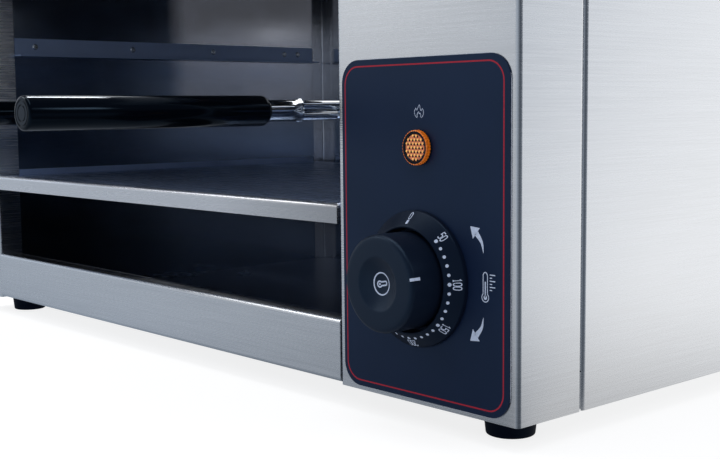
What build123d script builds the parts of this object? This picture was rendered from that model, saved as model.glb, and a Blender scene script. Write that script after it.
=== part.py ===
from build123d import *
from math import cos, radians, sin
import os

# Open-front electric grill: a folded stainless body with a cavity on the left and a control column on the
# right, a slide-out wire rack and shelf on wall runners, tubular elements under the roof and a dial
# thermostat. Sizes are in millimetres. X is to the user's right, Y to the back and Z up. The floor under
# the feet is Z = 0, and the origin is the middle of the whole outline on that floor.

# Body
body_width = 600.0
body_depth = 385.0
body_height = 330.0
sheet = 1.2  # thickness of every folded sheet
outer_bend = 2.4  # outer radius of every fold
seam = 0.5  # open seam between neighbouring outer sheets
weld_gap = 0.05  # room between pieces that are welded or screwed face to face

# Front sheets
right_column_width = 130.0
left_column_width = 35.0
column_return = 49.0  # depth of a column's outer side
column_lip = 20.0  # depth of a column's fold into the opening, and of the rail's bottom fold
column_hem = 8.0  # folds at a column's rear edge and bottom
rail_height = 37.0
rail_lift = 1.0  # the rail's bottom stands this much above the columns' bottom
rail_fold = 15.0  # top fold
rail_hook = 8.0
opening_top = 262.0  # above the body's bottom
fascia_fold = 20.0

# Lid, back and base
lid_height = 18.0
lid_corner = 3.0
lid_top_round = 2.6
pan_flange = 20.0
side_fold = 14.0
back_inset = 3.0
back_screw_inset = 8.0
back_screw_rows = 3

# Cavity
cavity_back_space = 30.0  # between the cavity's back and the body's back
roof_below_lid = 12.0  # underside of the roof below the lid's bottom
wall_top_gap = 2.0  # side and back walls end this far below the lid's bottom
wall_start = 5.0  # the walls lap this far behind the front face
corner_leg = 14.0

# Wall runners
runner_height = 15.0
runner_ledge = 12.0
runner_pitch = 54.6
lowest_runner = 91.2  # bottom of the lowest runner above the body's bottom
runner_levels = 3
rivet_radius = 2.6
rivet_dome = 1.1
rivet_taper = 38.0  # degrees
rivet_setbacks = (18.5, 112.5, 199.5, 284.5, 301.5)  # behind the front end of a runner

# Clearances
slide_gap = 0.3  # sliding pieces stand this far from what carries them
shelf_side_gap = 1.9
rack_side_gap = 3.0
shaft_gap = 0.05
hole_gap = 0.15

# Shelf
shelf_top = 101.8  # above the body's bottom
shelf_front_height = 11.3
shelf_rear_gap = 15.0

# Wire rack
rod = 6.0  # diameter of the rim, the bars and the handle rods
wire = 3.5  # diameter of the grid wires
weld_sink = 0.3  # grid wires are welded this deep into the bars
rim_corner = 14.0
rack_setback = 58.0  # centre of the front bar behind the body's front face
rack_rear_gap = 18.0
grid_wires = 17
handle_inset = 67.2  # from the sides of the opening to the handle axes
lower_rod_start = 28.0  # behind the body's front face

# Handles
grip_diameter = 18.0
grip_length = 154.5
grip_end = 1.5  # the grip's rear end behind the body's front face
grip_front_edge = 1.6
grip_rear_edge = 4.5
grip_ring_radii = (6.6, 4.2)
grip_ring_width = 0.7
grip_ring_depth = 0.4
ferrule_diameter = 12.8
ferrule_spigot = 9.0
spigot_length = 12.0
ferrule_straight = 17.0
crimp_width = 7.4

# Elements
tube = 8.0  # diameter of the sheathed elements
element_drop = 19.0  # element axis below the roof
element_legs = 56.0  # between the two legs of one element
element_starts = (82.0, 214.0)  # first leg of each element behind the front face
element_end_flat = 1.0  # straight run between the two bends of an element
element_left_gap = 14.0
element_tail = 28.0
stud = 4.0
stud_length = 10.0
bush_diameter = 12.0
bush_flange = 17.0
bush_flange_thickness = 2.0
bush_thread = 7.0
bush_nut_width = 17.0
bush_nut_thickness = 4.0
holder_inset = 70.0
holder_foot = 12.0
holder_below = 7.0  # the holder reaches this far below the element axis

# Dial, thermostat and knob
dial_inset = 67.2  # from the body's right side
dial_height = 66.4  # above the body's bottom
bezel_diameter = 71.0
bezel_opening = 53.5
bezel_rim = 2.4
bezel_rise = 10.6
bezel_edge = 1.0
knob_diameter = 50.0
knob_front = 29.4  # the knob's front before the body's front face
knob_back = 3.6
knob_edge = 2.4
knob_wall = 2.2
knob_web = 5.5
dish_radius = 17.5
dish_shoulder = 8.0  # radius where the dish is nearly flat
dish_shoulder_depth = 2.2
dish_depth = 3.0
hub_radius = 7.0
shaft_radius = 3.0
shaft_flat = 0.8
shaft_tip = 19.0
shaft_window = 2.0  # the column's hole stands this far off the shaft
pointer_angle = 11.0  # above the horizontal, to the right
pointer_width = 1.5
pointer_depth = 1.2
pointer_length = 6.5  # along the knob's side
pointer_face = 3.6  # along the knob's front
thermostat_width = 38.0
thermostat_height = 34.0
thermostat_depth = 24.0
thermostat_corner = 4.0
plate_width = 44.0
plate_height = 18.0
plate_thickness = 1.5
plate_screws = 28.0  # between the two thermostat screws
shaft_pocket = 12.0
screw_radius = 2.0
screw_head_radius = 3.5
screw_head = 2.0
screw_length = 6.0

# Bulb
capillary = 2.0
capillary_bend = 14.0
capillary_setback = 46.0
bulb_diameter = 6.0
bulb_length = 90.0
bulb_drop = 8.0
bulb_wall_gap = 12.0
clip_width = 8.0
clip_thickness = 0.8
clip_foot = 7.0
clip_places = (0.2, 0.8)  # shares of the bulb's length from its right end

# Control overlay and pilot lamp
overlay_width = 120.5
overlay_height = 177.3
overlay_bottom = 2.5
overlay_corner = 12.5
overlay_thickness = 0.8
overlay_window = 20.0
lamp_inset = 65.7
lamp_height = 134.0
lens_diameter = 18.0
lens_reach = 2.8
lens_edge = 1.2
lamp_flange = 0.8
lamp_barrel = 13.0
lamp_depth = 28.0
lamp_nut_width = 18.0
lamp_nut_thickness = 4.0
lamp_tab_width = 4.8
lamp_tab_thickness = 0.8
lamp_tab_length = 9.0
lamp_tab_spacing = 6.0

# Cable inlet, terminal block
gland_inset = 50.0
gland_height = 48.0
gland_reach = 18.0
gland_flat_width = 22.0
gland_hex_thickness = 6.0
gland_cap_radius = 9.5
gland_cap_round = 3.0
gland_barrel = 15.0
gland_bore = 9.0
gland_inside = 12.0
gland_nut_width = 20.0
gland_nut_thickness = 4.5
block_poles = 3
pole_pitch = 14.0
block_depth = 26.0
block_height = 22.0
block_setback = 70.0  # in front of the back
pole_hole = 6.0
groove_width = 1.5  # grooves between the poles
groove_depth = 6.6

# Feet
foot_height = 13.0
foot_top_diameter = 28.2
foot_bottom_diameter = 25.4
foot_side_inset = 29.0
foot_front_inset = 28.0
foot_edge = 1.0
foot_screw_radius = 2.5
foot_head_radius = 4.6
foot_head = 3.0
foot_recess = 6.0
foot_screw_above = 6.0

# Louvres
louvre_length = 62.0
louvre_height = 9.0
louvre_bulge = 5.0
louvre_corner = 4.4
louvre_round = 3.4
louvre_columns = 4
louvre_rows = 3
louvre_column_pitch = 92.0
louvre_row_pitch = 24.0
louvre_below_lid = 50.0  # the middle row below the lid's bottom

# Places shared by many pieces
right = body_width / 2
left = -right
opening_right = right - right_column_width
opening_left = left + left_column_width
opening_middle = (opening_left + opening_right) / 2
grip_reach = grip_length - grip_end
front = (grip_reach - body_depth - gland_reach) / 2
back = front + body_depth
base = foot_height
top = base + body_height
lid_bottom = top - lid_height
panel_top = lid_bottom - seam
wall_left = opening_left - sheet  # inner faces of the cavity walls
wall_right = opening_right + sheet
cavity_back = back - cavity_back_space
roof = lid_bottom - roof_below_lid  # underside of the roof
wall_rise = roof_below_lid - wall_top_gap  # side and back walls rise this much above the roof
floor_top = base + sheet
runner_front = front + column_lip + seam
runner_back = cavity_back - corner_leg - seam
runner_bottoms = [base + lowest_runner + level * runner_pitch for level in range(runner_levels)]
ledge_tops = [bottom + sheet for bottom in runner_bottoms]
runner_side = {"left": (wall_left, 1), "right": (wall_right, -1)}
rack_z = ledge_tops[1] + slide_gap + rod / 2  # centre of the rim
upper_rod_z = rack_z + rod + weld_gap
handle_z = (rack_z + upper_rod_z) / 2
handle_x = {
    "left": opening_left + handle_inset,
    "right": opening_right - handle_inset,
}
dial_x = right - dial_inset
dial_z = base + dial_height
lamp_x = right - lamp_inset
lamp_z = base + lamp_height
element_z = roof - element_drop
element_leg_ys = [(front + start, front + start + element_legs) for start in element_starts]
bulb_z = roof - bulb_drop
bulb_y = front + capillary_setback
gland_x = right - gland_inset
gland_z = base + gland_height
foot_places = {
    "front_left": (left + foot_side_inset, front + foot_front_inset),
    "front_right": (right - foot_side_inset, front + foot_front_inset),
    "rear_left": (left + foot_side_inset, back - foot_front_inset),
    "rear_right": (right - foot_side_inset, back - foot_front_inset),
}
back_screw_zs = [
    base + pan_flange + back_screw_inset + row * (lid_bottom - base - pan_flange - 2 * back_screw_inset)
    / (back_screw_rows - 1)
    for row in range(back_screw_rows)
]
back_screw_places = [
    (x, z)
    for x in (left + back_inset + back_screw_inset, right - back_inset - back_screw_inset)
    for z in back_screw_zs
]


def facing_user(y):
    """Plane at depth y that faces the user: local x to the right, local y up."""
    return Plane.XZ.offset(-y)


def turning(x, z):
    """Plane through an axis towards the user: local x is the radius, local y the reach before the front."""
    return Plane(origin=(x, front, z), x_dir=(1, 0, 0), z_dir=(0, 0, -1))


def user_axis(x, z):
    """Axis at x and z that points towards the user."""
    return Axis((x, front, z), (0, -1, 0))


def folded_sheet(points):
    """Section of a folded sheet. The points run along its outer face, outside every bend."""
    (ax, ay), (bx, by), (cx, cy) = points[:3]
    turn = (bx - ax) * (cy - by) - (by - ay) * (cx - bx)
    with BuildLine() as fold_line:
        FilletPolyline(*points, radius=outer_bend)
        offset(amount=sheet, side=Side.LEFT if turn > 0 else Side.RIGHT)
    make_face(fold_line.edges())


def add_rod(start, end, diameter):
    """Adds a straight round rod between two points to the part being built."""
    run = Vector(*end) - Vector(*start)
    with BuildSketch(Plane(origin=start, z_dir=run)) as section:
        Circle(diameter / 2)
    extrude(section.sketch, amount=run.length)


def front_column(inner_x, outer_x):
    """Folded front sheet of a column, with its lip in the opening, its outer side and its rear hem."""
    inward = 1 if outer_x < inner_x else -1
    with BuildPart() as column:
        with BuildSketch(Plane.XY.offset(base)):
            folded_sheet([
                (inner_x, front + column_lip),
                (inner_x, front),
                (outer_x, front),
                (outer_x, front + column_return),
                (outer_x + inward * column_hem, front + column_return),
            ])
        extrude(amount=panel_top - base)
        with BuildSketch(Plane.XY.offset(base)):
            with Locations(((inner_x + outer_x) / 2, front + sheet + column_hem / 2)):
                Rectangle(abs(outer_x - inner_x) - 2 * sheet, column_hem)
        extrude(amount=sheet)
        with BuildSketch(Plane.XY.offset(base)):
            with Locations((outer_x + inward * (sheet + column_hem / 2), front + column_return - sheet)):
                Rectangle(column_hem, 2 * sheet)
        extrude(amount=pan_flange + seam, mode=Mode.SUBTRACT)
    return column.part


def side_panel(outer_x):
    """Side sheet with a rolled front edge and a rear fold that the back panel is screwed to."""
    inward = 1 if outer_x < 0 else -1
    start = front + column_return + seam
    with BuildPart() as panel:
        with BuildSketch(Plane.XY.offset(base)):
            folded_sheet([
                (outer_x + inward * column_hem, start),
                (outer_x, start),
                (outer_x, back - sheet),
                (outer_x + inward * side_fold, back - sheet),
            ])
        extrude(amount=panel_top - base)
        with BuildSketch(facing_user(back)):
            with Locations(*back_screw_places):
                Circle(screw_radius + hole_gap)
        extrude(amount=side_fold, mode=Mode.SUBTRACT)
        with BuildSketch(Plane.XY.offset(base)):
            with Locations((outer_x + inward * (sheet + side_fold / 2), (start + back) / 2)):
                Rectangle(side_fold, back - start)
        extrude(amount=pan_flange + seam, mode=Mode.SUBTRACT)
    return panel.part


def cavity_wall(inner_x, outward):
    """Flat side wall of the cavity behind a column's lip."""
    with BuildPart() as wall:
        with BuildSketch(Plane.XY.offset(floor_top)):
            with Locations((inner_x + outward * sheet / 2, (front + wall_start + cavity_back) / 2)):
                Rectangle(sheet, cavity_back - front - wall_start)
        extrude(amount=roof + wall_rise - floor_top)
    return wall.part


def runner(wall_x, inward, bottom):
    """Angle strip on a cavity wall: an upright leg against the wall and a ledge into the cavity."""
    with BuildPart() as angle:
        with BuildSketch(facing_user(runner_front)):
            folded_sheet([
                (wall_x, bottom + runner_height),
                (wall_x, bottom),
                (wall_x + inward * runner_ledge, bottom),
            ])
        extrude(amount=runner_front - runner_back)
    return angle.part


def corner_angle(wall_x, inward):
    """Upright angle in a rear corner of the cavity."""
    with BuildPart() as angle:
        with BuildSketch(Plane.XY.offset(floor_top)):
            folded_sheet([
                (wall_x, cavity_back - corner_leg),
                (wall_x, cavity_back),
                (wall_x + inward * corner_leg, cavity_back),
            ])
        extrude(amount=roof - floor_top)
    return angle.part


def hex_nut(plane, width, bore_radius, thickness):
    """Hexagon nut on a plane, extruded along its normal."""
    with BuildPart() as nut:
        with BuildSketch(plane):
            RegularPolygon(width / 2, 6, major_radius=False)
            Circle(bore_radius, mode=Mode.SUBTRACT)
        extrude(amount=thickness)
    return nut.part


pieces = {}

# ---------------------------------------------------------------- outer body
with BuildPart() as base_pan:
    with BuildSketch(Plane.XY.offset(base)):
        pan_front = front + column_lip + seam
        with Locations((0, (pan_front + back - 2 * sheet) / 2)):
            Rectangle(body_width - 2 * sheet, back - 2 * sheet - pan_front)
    extrude(amount=pan_flange)
    pan_edges = base_pan.faces().sort_by(Axis.Z)[0].edges()
    fillet(pan_edges.sort_by(Axis.Y)[1:], radius=outer_bend)
    pan_openings = [base_pan.faces().sort_by(Axis.Z)[-1], base_pan.faces().sort_by(Axis.Y)[0]]
    offset(amount=-sheet, openings=pan_openings)
    with BuildSketch(Plane.XY.offset(base)):
        with Locations(*foot_places.values()):
            Circle(foot_screw_radius + hole_gap)
    extrude(amount=sheet, mode=Mode.SUBTRACT)
pieces["base_pan"] = base_pan.part

with BuildPart() as front_rail:
    with BuildSketch(Plane.YZ.offset(opening_left + seam)):
        folded_sheet([
            (front + column_lip, base + rail_lift),
            (front, base + rail_lift),
            (front, base + rail_height),
            (front + rail_fold, base + rail_height),
            (front + rail_fold, base + rail_height - rail_hook),
        ])
    extrude(amount=opening_right - opening_left - 2 * seam)
pieces["front_rail"] = front_rail.part

with BuildPart() as right_control_column:
    add(front_column(opening_right, right))
    with BuildSketch(facing_user(front + sheet)):
        with Locations((dial_x, dial_z)):
            Circle(shaft_radius + shaft_window)
            with Locations((-plate_screws / 2, 0), (plate_screws / 2, 0)):
                Circle(screw_radius + hole_gap)
        with Locations((lamp_x, lamp_z)):
            Circle(lamp_barrel / 2 + hole_gap)
    extrude(amount=sheet, mode=Mode.SUBTRACT)
pieces["right_control_column"] = right_control_column.part

pieces["left_column"] = front_column(opening_left, left)

with BuildPart() as top_fascia:
    with BuildSketch(Plane.YZ.offset(opening_left + seam)):
        folded_sheet([
            (front + fascia_fold, base + opening_top),
            (front, base + opening_top),
            (front, panel_top),
            (front + column_hem, panel_top),
        ])
    extrude(amount=opening_right - opening_left - 2 * seam)
pieces["top_fascia"] = top_fascia.part

pieces["right_side_panel"] = side_panel(right)
pieces["left_side_panel"] = side_panel(left)

with BuildPart() as top_cover:
    with BuildSketch(Plane.XY.offset(lid_bottom)):
        with Locations((0, (front + back) / 2)):
            Rectangle(body_width, body_depth)
    extrude(amount=lid_height)
    fillet(top_cover.edges().filter_by(Axis.Z), radius=lid_corner)
    fillet(top_cover.faces().sort_by(Axis.Z)[-1].edges(), radius=lid_top_round)
    offset(amount=-sheet, openings=top_cover.faces().sort_by(Axis.Z)[0])
pieces["top_cover"] = top_cover.part

with BuildPart() as louvre_hood:
    with BuildSketch(Plane.XZ):
        Rectangle(louvre_length, louvre_height)
    extrude(amount=-louvre_bulge)
    fillet(louvre_hood.edges().filter_by(Axis.Y).group_by(Axis.Z)[-1], radius=louvre_corner)
    outer_face = louvre_hood.faces().sort_by(Axis.Y)[-1]
    fillet(outer_face.edges().sort_by(Axis.Z)[1:], radius=louvre_round)

with BuildPart() as louvre_hollow:
    with BuildSketch(Plane.XZ.offset(sheet)):
        with Locations((0, -sheet / 2)):
            Rectangle(louvre_length - 2 * sheet, louvre_height - sheet)
    extrude(amount=-louvre_bulge)
    fillet(louvre_hollow.edges().filter_by(Axis.Y).group_by(Axis.Z)[-1], radius=louvre_corner - sheet)
    inner_face = louvre_hollow.faces().sort_by(Axis.Y)[-1]
    fillet(inner_face.edges().sort_by(Axis.Z)[1:], radius=louvre_round - sheet)

louvre_places = GridLocations(louvre_column_pitch, louvre_row_pitch, louvre_columns, louvre_rows)
with BuildPart() as back_panel:
    with BuildSketch(facing_user(back)):
        with Locations((0, (base + sheet + panel_top) / 2)):
            Rectangle(body_width - 2 * back_inset, panel_top - base - sheet)
        with Locations((gland_x, gland_z)):
            Circle(gland_barrel / 2 + hole_gap, mode=Mode.SUBTRACT)
        with Locations(*back_screw_places):
            Circle(screw_radius + hole_gap, mode=Mode.SUBTRACT)
    extrude(amount=sheet)
    hood_spots = [
        Location((spot.position.X, back, lid_bottom - louvre_below_lid + spot.position.Y))
        for spot in louvre_places
    ]
    with Locations(*hood_spots):
        add(louvre_hood.part)
    with Locations(*hood_spots):
        add(louvre_hollow.part, mode=Mode.SUBTRACT)
pieces["back_panel"] = back_panel.part

# ---------------------------------------------------------------- cavity
pieces["cavity_left_wall"] = cavity_wall(wall_left, -1)
with BuildPart() as cavity_right_wall:
    add(cavity_wall(wall_right, 1))
    with BuildSketch(Plane.YZ.offset(wall_right)):
        for legs in element_leg_ys:
            with Locations(*[(y, element_z) for y in legs]):
                Circle(bush_diameter / 2 + hole_gap)
        with Locations((bulb_y, bulb_z)):
            Circle(capillary / 2 + hole_gap)
    extrude(amount=sheet, mode=Mode.SUBTRACT)
pieces["cavity_right_wall"] = cavity_right_wall.part

with BuildPart() as cavity_back_wall:
    with BuildSketch(Plane.XY.offset(floor_top)):
        with Locations((opening_middle, cavity_back + sheet / 2)):
            Rectangle(wall_right - wall_left + 2 * sheet, sheet)
    extrude(amount=roof + wall_rise - floor_top)
pieces["cavity_back_wall"] = cavity_back_wall.part

with BuildPart() as cavity_roof:
    with BuildSketch(Plane.YZ.offset(wall_left)):
        folded_sheet([
            (front + fascia_fold + seam, base + opening_top + sheet),
            (front + fascia_fold + seam, roof + sheet),
            (cavity_back, roof + sheet),
        ])
    extrude(amount=wall_right - wall_left)
    with BuildSketch(Plane.XY.offset(roof + sheet)):
        for x in (wall_left + sheet / 2, wall_right - sheet / 2):
            with Locations((x, (front + fascia_fold + seam + outer_bend + cavity_back) / 2)):
                Rectangle(sheet, cavity_back - front - fascia_fold - seam - outer_bend)
    extrude(amount=wall_rise - sheet)
pieces["cavity_roof"] = cavity_roof.part

for side, (wall_x, inward) in runner_side.items():
    pieces[f"rear_corner_angle_{side}"] = corner_angle(wall_x, inward)
    for level, bottom in enumerate(runner_bottoms, start=1):
        pieces[f"runner_{side}_{level}"] = runner(wall_x, inward, bottom)

rivet_ys = [runner_front + setback for setback in rivet_setbacks]
with BuildPart() as runner_rivets:
    for side, (wall_x, inward) in runner_side.items():
        head_x = wall_x + inward * sheet
        for bottom in runner_bottoms:
            for rivet_y in rivet_ys:
                rivet_z = bottom + (runner_height + sheet) / 2
                head = Plane(origin=(head_x, rivet_y, rivet_z), z_dir=(inward, 0, 0))
                with BuildSketch(head):
                    Circle(rivet_radius)
                extrude(amount=rivet_dome, taper=rivet_taper)
pieces["runner_rivets"] = runner_rivets.part

# ---------------------------------------------------------------- shelf
shelf_width = opening_right - opening_left - 2 * shelf_side_gap
shelf_back = cavity_back - shelf_rear_gap
shelf_side_bottom = ledge_tops[0] + slide_gap
with BuildPart() as middle_shelf:
    with BuildSketch(Plane.XY.offset(shelf_side_bottom)):
        with Locations((opening_middle, (front + shelf_back) / 2)):
            Rectangle(shelf_width, shelf_back - front)
    extrude(amount=base + shelf_top - shelf_side_bottom)
    fillet(middle_shelf.faces().sort_by(Axis.Z)[-1].edges(), radius=outer_bend)
    offset(amount=-sheet, openings=middle_shelf.faces().sort_by(Axis.Z)[0])
    with BuildSketch(Plane.XY.offset(base + shelf_top - shelf_front_height)):
        with Locations((opening_middle, front + sheet / 2)):
            Rectangle(shelf_width, sheet)
    extrude(amount=shelf_side_bottom - base - shelf_top + shelf_front_height)
pieces["middle_shelf"] = middle_shelf.part

# ---------------------------------------------------------------- wire rack
rack_front = front + rack_setback
rack_back = cavity_back - rack_rear_gap - rod / 2
rack_left = opening_left + rack_side_gap + rod / 2
rack_right = opening_right - rack_side_gap - rod / 2
wire_z = rack_z + rod / 2 + wire / 2 - weld_sink
with BuildPart() as wire_rack:
    with BuildLine(Plane.XY.offset(rack_z)) as rim_line:
        FilletPolyline(
            (rack_left, rack_front),
            (rack_right, rack_front),
            (rack_right, rack_back),
            (rack_left, rack_back),
            radius=rim_corner,
            close=True,
        )
    with BuildSketch(Plane(origin=rim_line.line @ 0, z_dir=rim_line.line % 0)):
        Circle(rod / 2)
    sweep(path=rim_line.line)
    middle_y = (rack_front + rack_back) / 2
    add_rod((rack_left, middle_y, rack_z), (rack_right, middle_y, rack_z), rod)
    for x in handle_x.values():
        add_rod((x, front + lower_rod_start, rack_z), (x, rack_back, rack_z), rod)
    wire_pitch = (rack_right - rack_left) / (grid_wires + 1)
    for number in range(1, grid_wires + 1):
        x = rack_left + number * wire_pitch
        if min(abs(x - rod_x) for rod_x in handle_x.values()) > (rod + wire) / 2:
            add_rod((x, rack_front - rod / 2, wire_z), (x, rack_back + rod / 2, wire_z), wire)
pieces["wire_rack"] = wire_rack.part

for side, x in handle_x.items():
    with BuildPart() as handle_rod:
        rod_start = front + grip_end + ferrule_straight / 2
        add_rod((x, rod_start, upper_rod_z), (x, rack_back, upper_rod_z), rod)
    pieces[f"handle_rod_{side}"] = handle_rod.part

    with BuildPart() as handle_ferrule:
        with BuildSketch(facing_user(front + grip_end + ferrule_straight)):
            with Locations((x, handle_z)):
                Circle(ferrule_diameter / 2)
        extrude(amount=ferrule_straight)
        with BuildSketch(facing_user(front + grip_end + ferrule_straight)):
            with Locations((x, handle_z)):
                Circle(ferrule_diameter / 2)
        with BuildSketch(facing_user(front + lower_rod_start)):
            with Locations((x, handle_z)):
                SlotOverall(ferrule_diameter, crimp_width, rotation=90)
        loft()
        with BuildSketch(facing_user(front + grip_end)):
            with Locations((x, handle_z)):
                Circle(ferrule_spigot / 2)
        extrude(amount=spigot_length)
        with BuildSketch(facing_user(front + lower_rod_start)):
            with Locations((x, upper_rod_z)):
                Circle(rod / 2 + weld_gap)
        extrude(amount=front + lower_rod_start - rod_start + weld_gap, mode=Mode.SUBTRACT)
    pieces[f"handle_ferrule_{side}"] = handle_ferrule.part

    with BuildPart() as handle_grip:
        with BuildSketch(turning(x, handle_z)) as grip_half:
            with Locations((grip_diameter / 4, grip_reach - grip_length / 2)):
                Rectangle(grip_diameter / 2, grip_length)
            outer_corners = grip_half.vertices().group_by(Axis.X)[-1].sort_by(Axis.Y)
            fillet(outer_corners[-1], radius=grip_front_edge)
            outer_corners = grip_half.vertices().group_by(Axis.X)[-1].sort_by(Axis.Y)
            fillet(outer_corners[0], radius=grip_rear_edge)
            for ring in grip_ring_radii:
                with Locations((ring, grip_reach - grip_ring_depth / 2)):
                    Rectangle(grip_ring_width, grip_ring_depth, mode=Mode.SUBTRACT)
            with Locations((ferrule_spigot / 4, (spigot_length + weld_gap) / 2 - grip_end)):
                Rectangle(
                    ferrule_spigot / 2 + 2 * weld_gap, spigot_length + weld_gap, mode=Mode.SUBTRACT
                )
        revolve(axis=user_axis(x, handle_z))
    pieces[f"handle_grip_{side}"] = handle_grip.part

# ---------------------------------------------------------------- heating elements
element_start = wall_right + element_tail
element_left = wall_left + element_left_gap + tube / 2
for name, legs in zip(("front", "rear"), element_leg_ys):
    with BuildPart() as heating_element:
        with BuildLine(Plane.XY.offset(element_z)) as element_line:
            FilletPolyline(
                (element_start, legs[0]),
                (element_left, legs[0]),
                (element_left, legs[1]),
                (element_start, legs[1]),
                radius=(element_legs - element_end_flat) / 2,
            )
        with BuildSketch(Plane(origin=element_line.line @ 0, z_dir=element_line.line % 0)):
            Circle(tube / 2)
        sweep(path=element_line.line)
        for y in legs:
            add_rod((element_start, y, element_z), (element_start + stud_length, y, element_z), stud)
    pieces[f"heating_element_{name}"] = heating_element.part

with BuildPart() as element_bushes:
    for legs in element_leg_ys:
        with BuildSketch(Plane.YZ.offset(wall_right)):
            with Locations(*[(y, element_z) for y in legs]):
                Circle(bush_diameter / 2)
                Circle(tube / 2 + shaft_gap, mode=Mode.SUBTRACT)
        extrude(amount=bush_thread)
        with BuildSketch(Plane.YZ.offset(wall_right)):
            with Locations(*[(y, element_z) for y in legs]):
                Circle(bush_flange / 2)
                Circle(tube / 2 + shaft_gap, mode=Mode.SUBTRACT)
        extrude(amount=-bush_flange_thickness)
pieces["element_bushes"] = element_bushes.part

with BuildPart() as element_nuts:
    for legs in element_leg_ys:
        for y in legs:
            nut_plane = Plane(
                origin=(wall_right + sheet + weld_gap, y, element_z), x_dir=(0, 1, 0), z_dir=(1, 0, 0)
            )
            add(hex_nut(nut_plane, bush_nut_width, bush_diameter / 2 + shaft_gap, bush_nut_thickness))
pieces["element_nuts"] = element_nuts.part

with BuildPart() as element_holder:
    holder_x = wall_left + holder_inset
    holder_front = element_leg_ys[0][0] - bush_flange
    holder_back = element_leg_ys[-1][1] + bush_flange
    with BuildSketch(facing_user(holder_front)):
        folded_sheet([
            (holder_x, element_z - holder_below),
            (holder_x, roof - weld_gap),
            (holder_x + holder_foot, roof - weld_gap),
        ])
    extrude(amount=holder_front - holder_back)
    with BuildSketch(Plane.YZ.offset(holder_x)):
        for legs in element_leg_ys:
            with Locations(*[(y, element_z) for y in legs]):
                Circle(tube / 2 + hole_gap)
    extrude(amount=sheet, mode=Mode.SUBTRACT)
pieces["element_holder"] = element_holder.part

# ---------------------------------------------------------------- thermostat and knob
with BuildPart() as thermostat_body:
    with BuildSketch(facing_user(front + sheet + plate_thickness)):
        with Locations((dial_x, dial_z)):
            Rectangle(plate_width, plate_height)
    extrude(amount=plate_thickness)
    with BuildSketch(facing_user(front + sheet + plate_thickness)):
        with Locations((dial_x, dial_z)):
            RectangleRounded(thermostat_width, thermostat_height, thermostat_corner)
    extrude(amount=-thermostat_depth)
    with BuildSketch(facing_user(front + sheet)):
        with Locations((dial_x, dial_z)):
            Circle(shaft_radius + shaft_gap)
            with Locations((-plate_screws / 2, 0), (plate_screws / 2, 0)):
                Circle(screw_radius + shaft_gap)
    extrude(amount=-shaft_pocket, mode=Mode.SUBTRACT)
pieces["thermostat_body"] = thermostat_body.part

with BuildPart() as thermostat_screws:
    with BuildSketch(facing_user(front)):
        with Locations((dial_x - plate_screws / 2, dial_z), (dial_x + plate_screws / 2, dial_z)):
            Circle(screw_head_radius)
    extrude(amount=screw_head)
    with BuildSketch(facing_user(front)):
        with Locations((dial_x - plate_screws / 2, dial_z), (dial_x + plate_screws / 2, dial_z)):
            Circle(screw_radius)
    extrude(amount=-screw_length)
pieces["thermostat_screws"] = thermostat_screws.part

with BuildPart() as dial_bezel:
    with BuildSketch(turning(dial_x, dial_z)) as bezel_half:
        with BuildLine():
            Polyline(
                (bezel_opening / 2, overlay_thickness),
                (bezel_diameter / 2, overlay_thickness),
                (bezel_diameter / 2, overlay_thickness + bezel_rim),
                (bezel_opening / 2, overlay_thickness + bezel_rise),
                close=True,
            )
        make_face()
        rim_corners = bezel_half.vertices().sort_by(Axis.Y)[-2:]
        fillet(rim_corners, radius=bezel_edge)
    revolve(axis=user_axis(dial_x, dial_z))
pieces["dial_bezel"] = dial_bezel.part

with BuildPart() as knob_blank:
    with BuildSketch(turning(dial_x, dial_z)) as knob_half:
        with BuildLine():
            Polyline(
                (0, knob_back),
                (knob_diameter / 2, knob_back),
                (knob_diameter / 2, knob_front),
                (dish_radius, knob_front),
            )
            Spline(
                (dish_radius, knob_front),
                (dish_shoulder, knob_front - dish_shoulder_depth),
                (0, knob_front - dish_depth),
                tangents=[(-1, 0), (-1, 0)],
            )
            Line((0, knob_front - dish_depth), (0, knob_back))
        make_face()
        fillet(knob_half.vertices().group_by(Axis.X)[-1].sort_by(Axis.Y)[-1], radius=knob_edge)
    revolve(axis=user_axis(dial_x, dial_z))

pointer_place = Plane(
    origin=(dial_x, front - knob_front, dial_z),
    x_dir=(cos(radians(pointer_angle)), 0, sin(radians(pointer_angle))),
    z_dir=(0, -1, 0),
)
with BuildPart() as pointer_slot:
    with BuildSketch(pointer_place):
        with Locations((knob_diameter / 2, 0)):
            Rectangle(2 * pointer_depth, pointer_width)
    extrude(amount=-pointer_length)
    with BuildSketch(pointer_place):
        with Locations((knob_diameter / 2 - pointer_face, 0)):
            Rectangle(2 * pointer_face, pointer_width, align=(Align.MIN, Align.CENTER))
    extrude(amount=-pointer_depth)

with BuildPart() as knob:
    add(knob_blank.part)
    with BuildSketch(facing_user(front - knob_back)):
        with Locations((dial_x, dial_z)):
            Circle(knob_diameter / 2 - knob_wall)
            Circle(hub_radius, mode=Mode.SUBTRACT)
    extrude(amount=knob_front - knob_back - knob_web, mode=Mode.SUBTRACT)
    with BuildSketch(facing_user(front - knob_back)):
        with Locations((dial_x, dial_z)):
            Circle(shaft_radius + shaft_gap)
            with Locations((0, shaft_radius - shaft_flat / 2 + 2 * shaft_gap)):
                Rectangle(2 * shaft_radius, shaft_flat, mode=Mode.SUBTRACT)
    extrude(amount=shaft_tip + shaft_gap - knob_back, mode=Mode.SUBTRACT)
    add(pointer_slot.part, mode=Mode.SUBTRACT)
pieces["knob"] = knob.part

with BuildPart() as knob_pointer:
    add(knob_blank.part)
    add(pointer_slot.part, mode=Mode.INTERSECT)
pieces["knob_pointer"] = knob_pointer.part

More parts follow.
